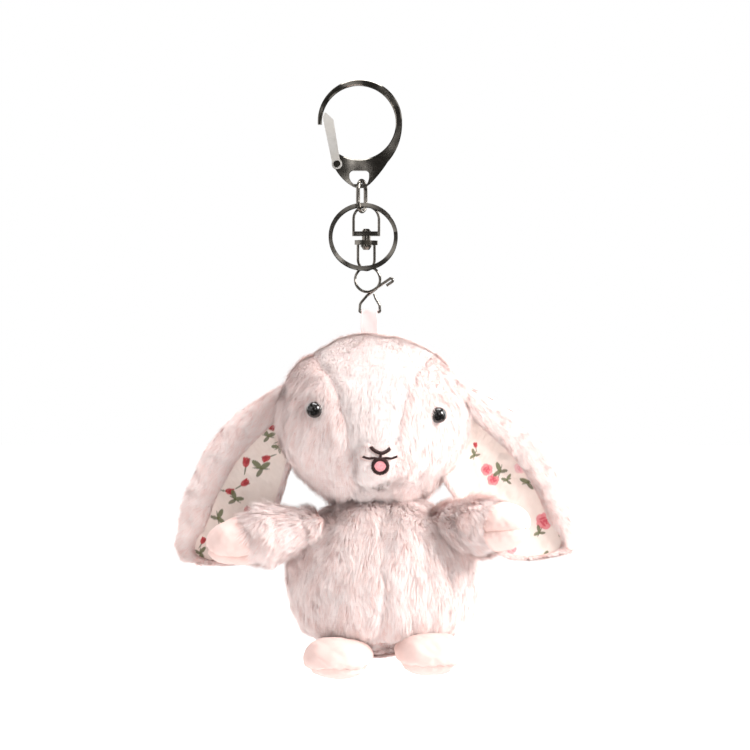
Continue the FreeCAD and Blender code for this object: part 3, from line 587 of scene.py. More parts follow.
def fur(name, roots, normals, comb, length, seed, lift=0.42, gather=0.2, tuft=1.0,
        stretch=(1.0, 1.0, 2.6), pale=0.0, open_to_light=0.25):
    """Pile: a thin tapered blade of three triangles on each root, combed along the fabric.
    comb is a direction for each root, lift the angle above the fabric and gather how far the tips of a tuft
    draw together. tuft is the size of a tuft, longer by stretch along each axis, and pale is how much of the
    darker root colour, the painted shade deep in the pile, is left out. Fine pile passes light on, so the
    normals it is lit by lean upwards and to the front by the share open_to_light."""
    rng = np.random.default_rng(seed)
    count = len(roots)
    flat = unit(comb - normals * (comb * normals).sum(1, keepdims=True))
    turn = 0.35 * wander(roots, seed + 5, 14.0) + rng.normal(0, 0.16, count)
    side = np.cross(normals, flat)
    flat = flat * np.cos(turn)[:, None] + side * np.sin(turn)[:, None]
    side = np.cross(normals, flat)
    length = length * (1 + 0.16 * wander(roots, seed + 9, 6.0)) * rng.uniform(0.72, 1.12, count)
    rise = np.clip(lift + 0.2 * wander(roots, seed + 13, 8.0) * lift + rng.normal(0, 0.1, count), 0.1, 1.3)
    loose = rng.uniform(size=count) < LOOSE_SHARE
    rise = np.where(loose, rise + LOOSE_RISE, rise)
    steep, shallow = np.minimum(rise * 1.35, 1.45), np.minimum(rise * 0.6, 1.2)
    first, second = (flat * np.cos(angle)[:, None] + normals * np.sin(angle)[:, None]
                     for angle in (steep, shallow))
    bend = roots + first * (BEND_AT * length)[:, None]
    tip = bend + second * ((1 - BEND_AT) * length)[:, None]
    group = tuft_of(roots, tuft, seed + 17, stretch)
    gather = np.broadcast_to(gather, count)[:, None]
    tip += (tuft_mean(tip, group) - tip) * gather
    bend += (tuft_mean(bend, group) - bend) * gather * 0.35
    base = roots - normals * BLADE_ROOT_DEPTH
    half = (BLADE_WIDTH * rng.uniform(0.75, 1.25, count) * np.where(loose, 0.6, 1.0) / 2)[:, None] * side
    verts = np.stack([base + half, base - half, bend - half * 0.8, bend + half * 0.8, tip], 1)
    shade = np.random.default_rng(seed + 19).uniform(0, 1, group.max() + 1)[group]
    streak = 0.16 * wander(roots / np.array(stretch), seed + 23, 3.0)
    tint = np.clip(0.4 * shade + 0.6 * rng.uniform(size=count) + 0.1 + pale + streak, 0, 1)
    lit = unit(normals + open_to_light * TOWARDS_LIGHT)
    return blade_object(name, verts, lit, tint, pale)


def blade_object(name, verts, normals, tint, pale):
    """Mesh of the blades, each a four-sided foot and a three-sided tip. It carries its own map: the tuft's
    tone across and root to tip upwards, and it is lit by the normals given, not by the blades' own."""
    count = len(verts)
    mesh = bpy.data.meshes.new(name)
    mesh.vertices.add(count * 5)
    mesh.vertices.foreach_set("co", (verts.reshape(-1) * MM).astype(np.float32))
    corner = np.array([0, 1, 2, 3, 3, 2, 4])
    index = (np.arange(count)[:, None] * 5 + corner).reshape(-1)
    mesh.loops.add(len(index))
    mesh.loops.foreach_set("vertex_index", index.astype(np.int32))
    starts = (np.arange(count)[:, None] * 7 + np.array([0, 4])).reshape(-1)
    mesh.polygons.add(count * 2)
    mesh.polygons.foreach_set("loop_start", starts.astype(np.int32))
    mesh.update(calc_edges=True)
    mesh.polygons.foreach_set("use_smooth", np.ones(count * 2, bool))
    layer = mesh.uv_layers.new(name="OFBake")
    high = np.array([0.02, 0.02, 0.5, 0.5, 0.5, 0.5, 0.98])
    uv = np.stack([np.repeat(0.01 + 0.98 * tint, 7), np.tile(pale + (1 - pale) * high, count)], -1)
    layer.data.foreach_set("uv", uv.reshape(-1).astype(np.float32))
    lean = np.repeat(normals, 5, axis=0)
    attribute = mesh.attributes.new("custom_normal", "FLOAT_VECTOR", "POINT")
    attribute.data.foreach_set("vector", lean.reshape(-1).astype(np.float32))
    return dress(placed(name, mesh), FUR)


def furred(form, name, rows, cols, count, seed, closed=False):
    """Fabric backing of a panel in the place of its CAD node, with roots for its pile and normals."""
    cover = form.panel(name + "_fabric", rows, cols, FABRIC, closed=closed)
    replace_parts(dress(cover, KNIT), name)
    patch = (slice(rows[0], rows[1] + 1), slice(cols[0], cols[1] + 1))
    rng = np.random.default_rng(seed)
    return cover, *scatter(form.points[patch], form.normals[patch], count, rng)


def ride_all(body, *objects):
    for obj in objects:
        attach(obj, body)


def velour(form, name, rows, cols, closed=False):
    """Velour panel of a paw or foot, in the place of its CAD node."""
    piece = dress(form.panel(name + "_velour", rows, cols, VELOUR, closed=closed), VELOUR_FACE)
    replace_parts(piece, name)
    return piece


def filling(form, depth, name, node, step=2):
    """Stuffing inside a cover, at a depth below the form, in the place of its CAD node."""
    core = dress(form.moved(depth).closed(name, step), FILL)
    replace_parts(core, node)
    return core


# ---- head ------------------------------------------------------------------------------------

HEAD_SIDE_ROWS = 44
HEAD_GUSSET_ROWS = 36
HEAD_COLUMNS = 144
HEAD_BACK_COLUMNS = (42, 102)
GUSSET_AT = (-105, -60, -25, -5, 17, 35, 48, 75, 105)
GUSSET_HALF = (7.0, 8.0, 8.2, 9.6, 12.4, 15.6, 19.0, 22.0, 23.0)
HEAD_BLADES = {"head_side_left": 52000, "head_gusset": 62000, "head_side_right": 52000, "head_back": 64000}
HEAD_PILE = 5.2
MUZZLE_BLEND = 2.2
MOUTH_RING = 2.5
BARE_AROUND_EYE = 0.8
BARE_AROUND_STITCH = 0.75
FAR = 99.0


def gusset_half(degrees):
    """Half-width of the centre panel at an angle about X: 0 is the front, 90 the top."""
    turned = (degrees + 180) % 360 - 180
    low, high = GUSSET_AT[0], GUSSET_AT[-1]
    folded = np.clip(turned, low, high)
    round_back = smooth_step(((degrees % 360) - high) / 150, 1, 0)
    back = GUSSET_HALF[0] + (GUSSET_HALF[-1] - GUSSET_HALF[0]) * round_back
    return np.where(np.abs(turned) > high, back, np.interp(folded, GUSSET_AT, GUSSET_HALF))


def head_points():
    """Head as rings from its left side to its right side; the seams of the centre panel lie on rings."""
    degrees = np.linspace(0, 360, HEAD_COLUMNS + 1)
    seam = np.arcsin(gusset_half(degrees) / HEAD_HALF)
    outer = np.linspace(0, 1, HEAD_SIDE_ROWS + 1)[:, None]
    inner = np.linspace(-1, 1, HEAD_GUSSET_ROWS + 1)[:, None]
    left = -math.pi / 2 + outer * (math.pi / 2 - seam)
    alpha = np.concatenate([left[:-1], inner * seam, -left[::-1][1:]])
    phi = np.radians(degrees)[None, :]
    way = np.stack([np.sin(alpha) + 0 * phi, -np.cos(alpha) * np.cos(phi), np.cos(alpha) * np.sin(phi)], -1)
    way = unit(way * HEAD_SEMI)
    return HEAD_CENTRE + way * head_reach(way)[..., None]


def head_reach(way):
    """Distance from the head's centre to its surface, with the muzzle blended in."""
    plain = 1 / np.linalg.norm(way / HEAD_SEMI, axis=-1)
    a = ((way / MUZZLE_SEMI) ** 2).sum(-1)
    offset = (HEAD_CENTRE - MUZZLE) / MUZZLE_SEMI
    b = 2 * (way / MUZZLE_SEMI * offset).sum(-1)
    c = (offset ** 2).sum() - 1
    inside = b * b - 4 * a * c
    muzzle = np.where(inside > 0, (-b + np.sqrt(np.maximum(inside, 0))) / (2 * a), 0.0)
    muzzle = np.maximum(muzzle, plain - 12)
    return MUZZLE_BLEND * np.log(np.exp(plain / MUZZLE_BLEND) + np.exp(muzzle / MUZZLE_BLEND))


def head_marks(points):
    """Points along the head's seams."""
    rows, back = HEAD_SIDE_ROWS, HEAD_BACK_COLUMNS
    front = np.r_[0:back[0] + 1, back[1]:HEAD_COLUMNS + 1]
    return np.concatenate([
        points[rows][front], points[rows + HEAD_GUSSET_ROWS][front],
        points[:, back[0]], points[:, back[1]]])


def stitch_lines():
    """Centre lines of the embroidery in X and Z: nose arc, stem, mouth line and the round mouth."""
    nose_top, nose_tip = NOSE_HIGH[2] - 0.5, NOSE_HIGH[2] - 2.3
    left, right = NOSE_LOW[0], NOSE_HIGH[0]
    centre = (left + right) / 2
    line_z = MOUTH_HIGH[2] - 0.5
    t = np.linspace(0, 1, 30)[:, None]
    arc_z = nose_top - (nose_top - nose_tip) * np.sin(math.pi * t) ** 0.8
    nose = np.hstack([left + (right - left) * t, arc_z])
    nose[:, 1] -= 0.5 * t[:, 0]
    stem = np.hstack([centre + 0 * t, nose_tip + (line_z - nose_tip) * t])
    wide = MOUTH_LOW[0] + 0.4 + (MOUTH_HIGH[0] - MOUTH_LOW[0] - 0.8) * t
    smile = np.hstack([wide, line_z - 0.5 * np.sin(math.pi * t) - 0.35 * np.sin(3 * math.pi * t) ** 2])
    around = 2 * math.pi * t - math.pi / 2
    ring = np.hstack([MOUTH[0] + MOUTH_RING * np.cos(around), MOUTH[2] + MOUTH_RING * np.sin(around)])
    lines = {"nose": nose, "stem": stem, "smile": smile, "ring": ring}
    return {name: line + np.array([0, FACE_RISE]) for name, line in lines.items()}


STITCHES = stitch_lines()
STITCH_MARKS = np.concatenate([STITCHES[k] for k in ("nose", "stem", "smile", "ring")])


def face_distance(points):
    """Distance in X and Z from the embroidery, large behind the face."""
    flat = points[..., [0, 2]]
    marks = np.column_stack([STITCH_MARKS, np.zeros(len(STITCH_MARKS))])
    gap = nearest(np.concatenate([flat, np.zeros(flat.shape[:-1] + (1,))], -1), marks)
    return np.where(points[..., 1] > 0, FAR, gap)


def eye_distance(points):
    """Distance in X and Z from the nearer eye, large away from the front."""
    best = np.full(points.shape[:-1], FAR)
    for side in SIDES:
        centre = middle("eye_" + side)
        gap = np.hypot(points[..., 0] - centre[0], points[..., 2] - centre[2])
        best = np.where(points[..., 1] < -10, np.minimum(best, gap), best)
    return best


def comb_head(points):
    """Pile runs from a whorl behind the crown down over the face, and outwards on the cheeks."""
    whorl = HEAD_CENTRE + np.array([0, 14.0, HEAD_R])
    comb = unit(points - whorl)
    side = (points[:, 0] - HEAD_CENTRE[0]) / HEAD_HALF
    low = smooth_step(points[:, 2], HEAD_CENTRE[2] + 15, HEAD_CENTRE[2] - 15)
    comb += np.stack([0.9 * side * low, 0 * low, -0.8 * low], -1)
    return comb


def build_head():
    form = Form(head_points())
    x, y, z = np.moveaxis(form.points, -1, 0)
    marks = head_marks(form.points)
    near_face = 1 - smooth_step(face_distance(form.points), 1.0, 6.0)
    inset = HEAD_INSET - 0.8 * near_face + 0.5 * wander(form.points, 31, 22.0)
    fade = 1 - 0.7 * smooth_step(z, HEAD_CENTRE[2] + 14, HEAD_CENTRE[2] + 27)
    fade = fade * (1 - 0.8 * smooth_step(z, MOUTH[2] - 4, MOUTH[2] - 9))
    valley = SEAM_DEPTH * fade * np.exp(-(nearest(form.points, marks) / SEAM_WIDTH) ** 2)
    cleft = 0.3 * np.exp(-((x - MOUTH[0]) / 2.0) ** 2) * smooth_step(z, MOUTH[2] - 4, MOUTH[2] - 14)
    skin = form.moved(inset + valley + cleft * (y < 0))
    a, b = HEAD_SIDE_ROWS, HEAD_SIDE_ROWS + HEAD_GUSSET_ROWS
    last = 2 * HEAD_SIDE_ROWS + HEAD_GUSSET_ROWS
    front = (HEAD_BACK_COLUMNS[1] - HEAD_COLUMNS, HEAD_BACK_COLUMNS[0])
    turned = rolled(skin, front[0])
    split = front[1] - front[0]
    areas = {
        "head_side_left": ((0, a), (0, split)),
        "head_gusset": ((a, b), (0, split)),
        "head_side_right": ((b, last), (0, split)),
        "head_back": ((0, last), (split, HEAD_COLUMNS)),
    }
    for seed, (name, (rows, cols)) in enumerate(areas.items()):
        cover, roots, normals = furred(turned, name, rows, cols, HEAD_BLADES[name], 100 + seed)
        eye = eye_distance(roots)
        face = face_distance(roots)
        keep = (eye > BARE_AROUND_EYE) & (face > BARE_AROUND_STITCH)
        roots, normals, eye, face = roots[keep], normals[keep], eye[keep], face[keep]
        crown = smooth_step(roots[:, 2], HEAD_CENTRE[2] + 8, HEAD_CENTRE[2] + 24)
        chin = smooth_step(roots[:, 2], MOUTH[2] - 1, MOUTH[2] - 9)
        length = HEAD_PILE - 1.2 * (name == "head_gusset") - 1.2 * crown + 2.4 * chin
        length = length * (0.7 + 0.3 * smooth_step(eye, 2.0, 5.0))
        if name == "head_back":
            length = length * (0.45 + 0.55 * smooth_step(nearest(roots, marks), 2.0, 14.0))
        length = length * (0.30 + 0.70 * smooth_step(face, 0.8, 8.0))
        length = length * (0.75 + 0.25 * smooth_step(nearest(roots, marks), 1.0, 4.5))
        pile = fur(name + "_fur", roots, normals, comb_head(roots), length, 200 + 20 * seed,
                   gather=0.05 + 0.10 * smooth_step(face, 3, 12), lift=0.42 - 0.24 * crown,
                   pale=0.0 if name.startswith("head_side") else 0.25,
                   open_to_light=1.0 if name == "head_back" else 0.3)
        ride_all("plush", cover, pile)
    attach(filling(form, HEAD_INSET + STUFFING_INSET, "head_filling", "head_stuffing"), "plush")
    return turned


def rolled(form, first_column):
    """Same form with its columns starting at another one."""
    points = form.points[:, :-1]
    points = np.roll(points, -first_column, axis=1)
    return Form(np.concatenate([points, points[:, :1]], axis=1))


# ---- embroidery ------------------------------------------------------------------------------

THREAD_SIDES = 6
THREAD_PITCH = 0.2
TONGUE_PITCH = 0.24
TONGUE_RADIUS = 2.05
THREAD_RADIUS = 0.15
TONGUE_THREAD_RADIUS = 0.17


def tubes(name, paths, radius):
    """One mesh of closed round threads along several short paths."""
    verts, faces = [], []
    sides = THREAD_SIDES
    around = np.linspace(0, 2 * math.pi, sides, endpoint=False)
    for path in paths:
        along = unit(np.gradient(path, axis=0))
        reference = np.array([0.31, 0.93, 0.17])
        u = unit(np.cross(along, reference))
        v = np.cross(along, u)
        steps = len(path)
        taper = radius * (1 - 0.35 * np.abs(np.linspace(-1, 1, steps)) ** 6)
        ring = path[:, None] + taper[:, None, None] * (
            np.cos(around)[None, :, None] * u[:, None] + np.sin(around)[None, :, None] * v[:, None])
        start = sum(len(x) for x in verts)
        verts.append(ring.reshape(-1, 3))
        for i in range(steps - 1):
            for k in range(sides):
                n = (k + 1) % sides
                faces.append([start + i * sides + k, start + i * sides + n,
                              start + (i + 1) * sides + n, start + (i + 1) * sides + k])
        faces.append([start + k for k in range(sides)])
        faces.append([start + (steps - 1) * sides + k for k in reversed(range(sides))])
    mesh = bpy.data.meshes.new(name)
    mesh.from_pydata((np.concatenate(verts) * MM).tolist(), [], faces)
    mesh.polygons.foreach_set("use_smooth", np.ones(len(faces), bool))
    return placed(name, mesh)


def on_face(tree, flat, rise):
    """Point of the face in front of an X and Z place, raised towards the front."""
    hit = tree.ray_cast(Vector((flat[0], -80, flat[1])), Vector((0, 1, 0)))[0]
    return np.array(hit) - np.array([0, rise, 0])


def satin_threads(tree, line, width, seed, rise):
    """Short threads laid side by side across a line on the face."""
    rng = np.random.default_rng(seed)
    step = np.linalg.norm(np.diff(line, axis=0), axis=1)
    along = np.concatenate([[0], np.cumsum(step)])
    count = max(2, int(along[-1] / THREAD_PITCH))
    def at(s):
        return np.array([np.interp(s, along, line[:, k]) for k in (0, 1)])
    paths = []
    for s in np.linspace(0, along[-1], count):
        way = unit(at(min(s + THREAD_PITCH, along[-1])) - at(max(s - THREAD_PITCH, 0)))
        slant = np.array([-way[1], way[0]]) + way * 0.25
        reach = width / 2 * rng.uniform(0.9, 1.1)
        paths.append(np.array([on_face(tree, at(s) + slant * reach * t, rise * (1 - 0.75 * t * t) + 0.05)
                               for t in np.linspace(-1, 1, 7)]))
    return paths


def build_face(head):
    points = head.points
    tree = BVHTree.FromPolygons(points.reshape(-1, 3).tolist(), grid_faces(*points.shape[:2]))
    nose = satin_threads(tree, STITCHES["nose"], 1.2, 1, 1.05)
    nose += satin_threads(tree, STITCHES["stem"], 0.85, 2, 1.15)
    smile = satin_threads(tree, STITCHES["smile"], 0.7, 3, 0.95)
    smile += satin_threads(tree, STITCHES["ring"], 1.35, 4, 1.15)
    tongue = []
    for x in np.arange(-1.95, 1.96, TONGUE_PITCH):
        tall = math.sqrt(TONGUE_RADIUS ** 2 - x * x)
        tongue.append(np.array([
            on_face(tree, (MOUTH[0] + x, MOUTH[2] + FACE_RISE + tall * t), 0.95 - 0.35 * t * t)
            for t in np.linspace(-1, 1, 9)]))
    for name, paths, radius, material, slot, node in (
            ("nose_threads", nose, THREAD_RADIUS, THREAD, "embroidery", "nose_stitch"),
            ("mouth_threads", smile, THREAD_RADIUS, THREAD, "embroidery", "mouth_stitch"),
            ("tongue_threads", tongue, TONGUE_THREAD_RADIUS, PINK_THREAD, "tongue_thread", "tongue_patch")):
        obj = dress(tubes(name, paths, radius), material)
        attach(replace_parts(obj, node), "plush")


# ---- body ------------------------------------------------------------------------------------

BODY_ROWS = 72
BODY_COLUMNS = 144
BODY_PILE = 5.6
BARE_AROUND_SHOULDER = 2.0
FUR_UNDER_HEAD = 3.5


def body_points():
    """Body as rings from the neck down; columns start at the middle of the front."""
    base_angle = math.acos((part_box("body_base")[1].z / MM - BODY_CENTRE[2]) / BODY_SEMI[2])
    upper = np.linspace(0, base_angle, BODY_ROWS - BASE_ROWS + 1)
    lower = np.linspace(base_angle, math.pi, BASE_ROWS + 1)[1:]
    way = unit(sphere_ways(np.concatenate([upper, lower]), BODY_COLUMNS) * BODY_SEMI)
    power = 2.0 + (BODY_SQUARE - 2.0) * smooth_step(-way[..., 2], 0.0, 0.7)
    reach = 1 / ((np.abs(way / BODY_SEMI) ** power[..., None]).sum(-1)) ** (1 / power)
    return BODY_CENTRE + way * reach[..., None]


def comb_body(points):
    """Pile runs down the body and outwards round its base."""
    out = unit((points - BODY_CENTRE) * np.array([1, 1, 0]))
    comb = np.array([0, 0, -1.0]) + 0.12 * out
    below = points[:, 2] < BODY_LOW[2] + 10
    comb[below] = out[below] * 0.8 + np.array([0, 0, -0.4])
    return comb


def build_body():
    form = Form(body_points())
    split = BODY_ROWS - BASE_ROWS
    quarter = BODY_COLUMNS // 4
    marks = np.concatenate([form.points[:split + 1, k * quarter] for k in range(4)] + [form.points[split]])
    gap = nearest(form.points, marks)
    front_seam = nearest(form.points, form.points[:split + 1, 0])
    low_front = smooth_step(form.points[..., 2], BODY_CENTRE[2] + 2, BODY_LOW[2] + 12)
    low_front = low_front * np.exp(-(front_seam / 2.6) ** 2)
    valley = 0.9 * np.exp(-(gap / SEAM_WIDTH) ** 2) + 1.5 * low_front
    skin = form.moved(BODY_INSET + valley + 0.6 * wander(form.points, 41, 20.0))
    areas = {
        "body_front_right": ((0, split), (0, quarter), 56000),
        "body_back_right": ((0, split), (quarter, 2 * quarter), 44000),
        "body_back_left": ((0, split), (2 * quarter, 3 * quarter), 44000),
        "body_front_left": ((0, split), (3 * quarter, 4 * quarter), 56000),
        "body_base": ((split, BODY_ROWS), (0, BODY_COLUMNS), 30000),
    }
    shoulders = [joint_place("arm_" + side + "_lift") for side in SIDES]
    for seed, (name, (rows, cols, count)) in enumerate(areas.items()):
        cover, roots, normals = furred(skin, name, rows, cols, count, 300 + seed, name == "body_base")
        keep = roots[:, 2] < HEAD_LOW[2] + FUR_UNDER_HEAD
        for shoulder in shoulders:
            keep &= np.linalg.norm(roots - shoulder, axis=1) > BARE_AROUND_SHOULDER
        roots, normals = roots[keep], normals[keep]
        seam_gap = nearest(roots, marks)
        length = np.full(len(roots), BODY_PILE) * (0.65 + 0.35 * smooth_step(seam_gap, 1.0, 4.0))
        length *= 1 - 0.6 * smooth_step(roots[:, 2], BODY_LOW[2] + 17, BODY_LOW[2] + 8)
        pile = fur(name + "_fur", roots, normals, comb_body(roots), length, 400 + 20 * seed,
                   gather=0.3, tuft=1.1, stretch=(1.0, 1.0, 4.0))
        ride_all("plush", cover, pile)
    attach(filling(form, BODY_INSET + STUFFING_INSET, "body_filling", "body_stuffing"), "plush")


# ---- tail ------------------------------------------------------------------------------------

TAIL_ROWS = 36
TAIL_COLUMNS = 72
TAIL_INSET = 2.4
TAIL_PILE = 4.2
TAIL_BLADES = 16000


def build_tail():
    low, high = span("tail")
    radius = (high[0] - low[0]) / 2
    centre = np.array([(low[0] + high[0]) / 2, high[1] - radius, (low[2] + high[2]) / 2])
    form = Form(centre + sphere_ways(np.linspace(0, math.pi, TAIL_ROWS + 1), TAIL_COLUMNS) * radius)
    skin = form.moved(TAIL_INSET + 0.4 * wander(form.points, 51, 9.0))
    cover, roots, normals = furred(skin, "tail", (0, TAIL_ROWS), (0, TAIL_COLUMNS), TAIL_BLADES, 500, True)
    comb = np.tile([0, 0.8, -0.6], (len(roots), 1))
    pile = fur("tail_fur", roots, normals, comb, np.full(len(roots), TAIL_PILE), 510,
               lift=0.5, open_to_light=0.5)
    core = filling(form, TAIL_INSET + STUFFING_INSET, "tail_filling", "tail_stuffing", 1)
    ride_all("plush", cover, pile, core)


# ---- arms ------------------------------------------------------------------------------------

ARM_COLUMNS = 72
ARM_ROWS = 90
ARM_ROOT = -9.0
CUFF_AT = 19.5
CUFF_ROW = 48
PAW_RADIUS = 8.9
SLEEVE_BLADES = 30000
ARM_FILLING_DEPTH = 3.4
SLEEVE_INSET = 1.2
PAW_INSET = 0.25
SLEEVE_FUR = (-6.0, CUFF_AT - 0.6)
HELD_TO = 4.0
PAW_SEAM_DROP = {"left": 45.0, "right": 10.0}
PAW_REACH = 12.0
PAW_RISE = {"left": 0.9, "right": 2.2}


def arm_axis(side):
    """Shoulder, direction, length to the tip, and the across and up directions of an arm."""
    shoulder = joint_place("arm_" + side + "_lift")
    points = node_points("paw_upper_" + side)
    reach = points[np.argmax(np.linalg.norm(points - shoulder, axis=1))] - shoulder
    length = np.linalg.norm(reach)
    along = reach / length
    up = np.array([0, 0, 1.0])
    up = up - along * (up @ along)
    up /= np.linalg.norm(up)
    return shoulder, along, length, np.cross(along, up), up


def arm_radius(s, length):
    """Radius beside the arm's axis: narrow root, full sleeve, cuff, then the rounded paw."""
    knots = np.array([ARM_ROOT, -6.5, 0.0, 6.0, 13.0, CUFF_AT - 1, length - PAW_REACH, length - 1, length])
    sizes = [0.0, 5.5, 7.4, 8.6, 9.9, 8.4, PAW_RADIUS, PAW_RADIUS, 0.0]
    value = np.interp(s, knots, sizes)
    fine = np.linspace(knots[0], knots[-1], 400)
    plain = np.interp(fine, knots, sizes)
    kernel = np.hanning(31) / np.hanning(31).sum()
    eased = np.convolve(np.pad(plain, 15, mode="edge"), kernel, "valid")
    paw = PAW_RADIUS * np.sqrt(np.clip(1 - ((fine - (length - PAW_REACH)) / PAW_REACH) ** 2, 0, 1))
    eased = np.where(fine > length - PAW_REACH, paw, eased)
    root = 7.5 * np.sqrt(np.clip(1 - (fine / ARM_ROOT) ** 2, 0, 1))
    eased = np.where(fine < -2.0, root, eased)
    return np.where(value > 0, np.interp(s, fine, eased), 0.0)


def build_arm(side):
    shoulder, along, length, across, up = arm_axis(side)
    bend = np.linspace(0, math.pi / 2, CUFF_ROW + 1)
    reach_out = np.linspace(0, math.pi / 2, ARM_ROWS - CUFF_ROW + 1)[1:]
    s = np.concatenate([ARM_ROOT + (CUFF_AT - ARM_ROOT) * (1 - np.cos(bend)) ** 0.8,
                        CUFF_AT + (length - CUFF_AT) * np.sin(reach_out)])
    psi = np.linspace(0, 2 * math.pi, ARM_COLUMNS + 1)[None, :] - math.radians(PAW_SEAM_DROP[side])
    radius = arm_radius(s, length)[:, None]
    flat = 1 - 0.10 * smooth_step(s, CUFF_AT, length)[:, None]
    around = (np.cos(psi)[..., None] * across + (np.sin(psi) * flat)[..., None] * up)
    raised = PAW_RISE[side] * smooth_step(s, 0, length)[:, None, None] * np.array([0, 0, 1.0])
    form = Form(shoulder + s[:, None, None] * along + radius[..., None] * around + raised)
    half = round(ARM_COLUMNS * (0.5 + PAW_SEAM_DROP[side] / 180))
    marks = np.concatenate([form.points[CUFF_ROW], form.points[CUFF_ROW:, 0], form.points[CUFF_ROW:, half]])
    gap = nearest(form.points, marks)
    sleeve = s[:, None] < CUFF_AT
    inset = np.where(sleeve, SLEEVE_INSET, PAW_INSET) + 0.3 * wander(form.points, 61, 9.0)
    skin = form.moved(inset + np.where(sleeve, 0.8, 0.95) * np.exp(-(gap / 1.1) ** 2))
    held = np.zeros(form.points.shape[:2], bool)
    held[s < HELD_TO] = True
    held[CUFF_ROW] = True
    held[CUFF_ROW:, [0, half, -1]] = True
    skin = puffed(skin, held)
    body = "arm_" + side
    seed = 600 if side == "left" else 640
    cover, roots, normals = furred(skin, "arm_sleeve_" + side, (0, CUFF_ROW), (0, ARM_COLUMNS),
                                   SLEEVE_BLADES, seed, True)
    upper = velour(skin, "paw_upper_" + side, (CUFF_ROW, ARM_ROWS), (0, half))
    lower = velour(skin, "paw_lower_" + side, (CUFF_ROW, ARM_ROWS), (half, ARM_COLUMNS))
    core = filling(form, ARM_FILLING_DEPTH, "arm_filling_" + side, "arm_stuffing_" + side)
    out = (roots - shoulder) @ along
    keep = (out > SLEEVE_FUR[0]) & (out < SLEEVE_FUR[1])
    roots, normals, out = roots[keep], normals[keep], out[keep]
    above = smooth_step(normals[:, 2], -0.2, 0.8)
    behind = smooth_step(normals[:, 1], -0.3, 0.6)
    toward = 1.0 - 0.5 * smooth_step(out, 2.0, CUFF_AT - 5)
    comb = toward[:, None] * along + np.array([0, 0, -0.5])
    reach = 5.0 + 3.0 * np.maximum(above, 0.7 * behind)
    reach *= 0.75 + 0.25 * smooth_step(out, 0.0, 8.0)
    rise = 0.34 + 0.12 * above
    pile = fur("arm_sleeve_" + side + "_fur", roots, normals, comb, reach, seed + 1, lift=rise,
               stretch=(2.2, 1.0, 1.0), gather=0.2, tuft=1.1, open_to_light=0.3)
    for piece in (cover, pile):
        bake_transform(piece)
    ride_all(body, upper, lower, core)


# ---- feet ------------------------------------------------------------------------------------

FOOT_ROWS = 56
FOOT_COLUMNS = 96
FOOT_SEAM_ROW = 38
FOOT_SQUARE = 2.3
FOOT_PUCKERS = 17
FOOT_FILLING_DEPTH = 1.9


def build_foot(side):
    centre = middle("foot_top_" + side, "foot_sole_" + side) + np.array([0, 0, FOOT_RISE])
    way = sphere_ways(np.linspace(0, math.pi, FOOT_ROWS + 1), FOOT_COLUMNS)
    size = (np.abs(way) ** FOOT_SQUARE).sum(-1, keepdims=True) ** (1 / FOOT_SQUARE)
    plain = way / size * np.array(FOOT_SEMI)
    toes = 1 + 0.10 * (-plain[..., 1:2] / FOOT_SEMI[1])
    plain = plain * np.concatenate([toes, np.ones_like(toes), toes], -1)
    turn = math.radians(-FOOT_SPLAY[side])
    spin = np.array([[math.cos(turn), -math.sin(turn), 0], [math.sin(turn), math.cos(turn), 0], [0, 0, 1]])
    form = Form(centre + plain @ spin.T)
    held = np.zeros(form.points.shape[:2], bool)
    held[FOOT_SEAM_ROW] = True
    gap = nearest(form.points, form.points[FOOT_SEAM_ROW])
    pucker = 0.22 * np.sin(np.linspace(0, 2 * math.pi * FOOT_PUCKERS, FOOT_COLUMNS + 1))[None, :]
    valley = (0.85 + pucker) * np.exp(-(gap / 1.1) ** 2)
    skin = puffed(form.moved(0.2 + valley + 0.3 * wander(form.points, 71, 11.0)), held)
    top = velour(skin, "foot_top_" + side, (0, FOOT_SEAM_ROW), (0, FOOT_COLUMNS), True)
    sole = velour(skin, "foot_sole_" + side, (FOOT_SEAM_ROW, FOOT_ROWS), (0, FOOT_COLUMNS), True)
    core = filling(form, FOOT_FILLING_DEPTH, "foot_filling_" + side, "foot_stuffing_" + side)
    ride_all("plush", top, sole, core)


# ---- ears ------------------------------------------------------------------------------------

EAR_OUTSIDE = [
    (27, -97), (31, -93), (45, -100.5), (57, -111.5), (66, -127.5), (70.5, -146), (70.4, -155),
    (67, -159.4), (60, -161.2), (51, -160.8), (44, -158.8), (40, -154.5)]
EAR_INSIDE = {
    "left": [(37, -146.5), (34, -138), (31.5, -130), (29, -121), (26.5, -108)],
    "right": [(34.5, -146.5), (28.5, -138), (24, -130), (21.5, -121), (22, -108)]}
EAR_RIM = [
    4, 9, 12.5, 13, 12, 9.5, 7, 4.5, 3.0, 2.4, 2.0, 1.6, 1.6, 1.6, 1.6, 1.6, 2.5]
EAR_SPINE = ((31.0, -108.0), (57.0, -148.0))
EAR_EDGE_POINTS = 420
LINING_RINGS = 64
TIP_FAN = 34
ROOT_FAN = 22
EAR_FRONT = -3.6
EAR_CUP = 4.6
EAR_BACK = 2.2
RIM_ROLL = 2.0
FUR_OVERHANG = 2.2
EAR_FRONT_PILE = 4.6
EAR_BACK_PILE = 5.4
EAR_FRONT_BLADES = 30000
EAR_BACK_BLADES = 34000
LINING = 0.5
LINING_TUCK = 0.72


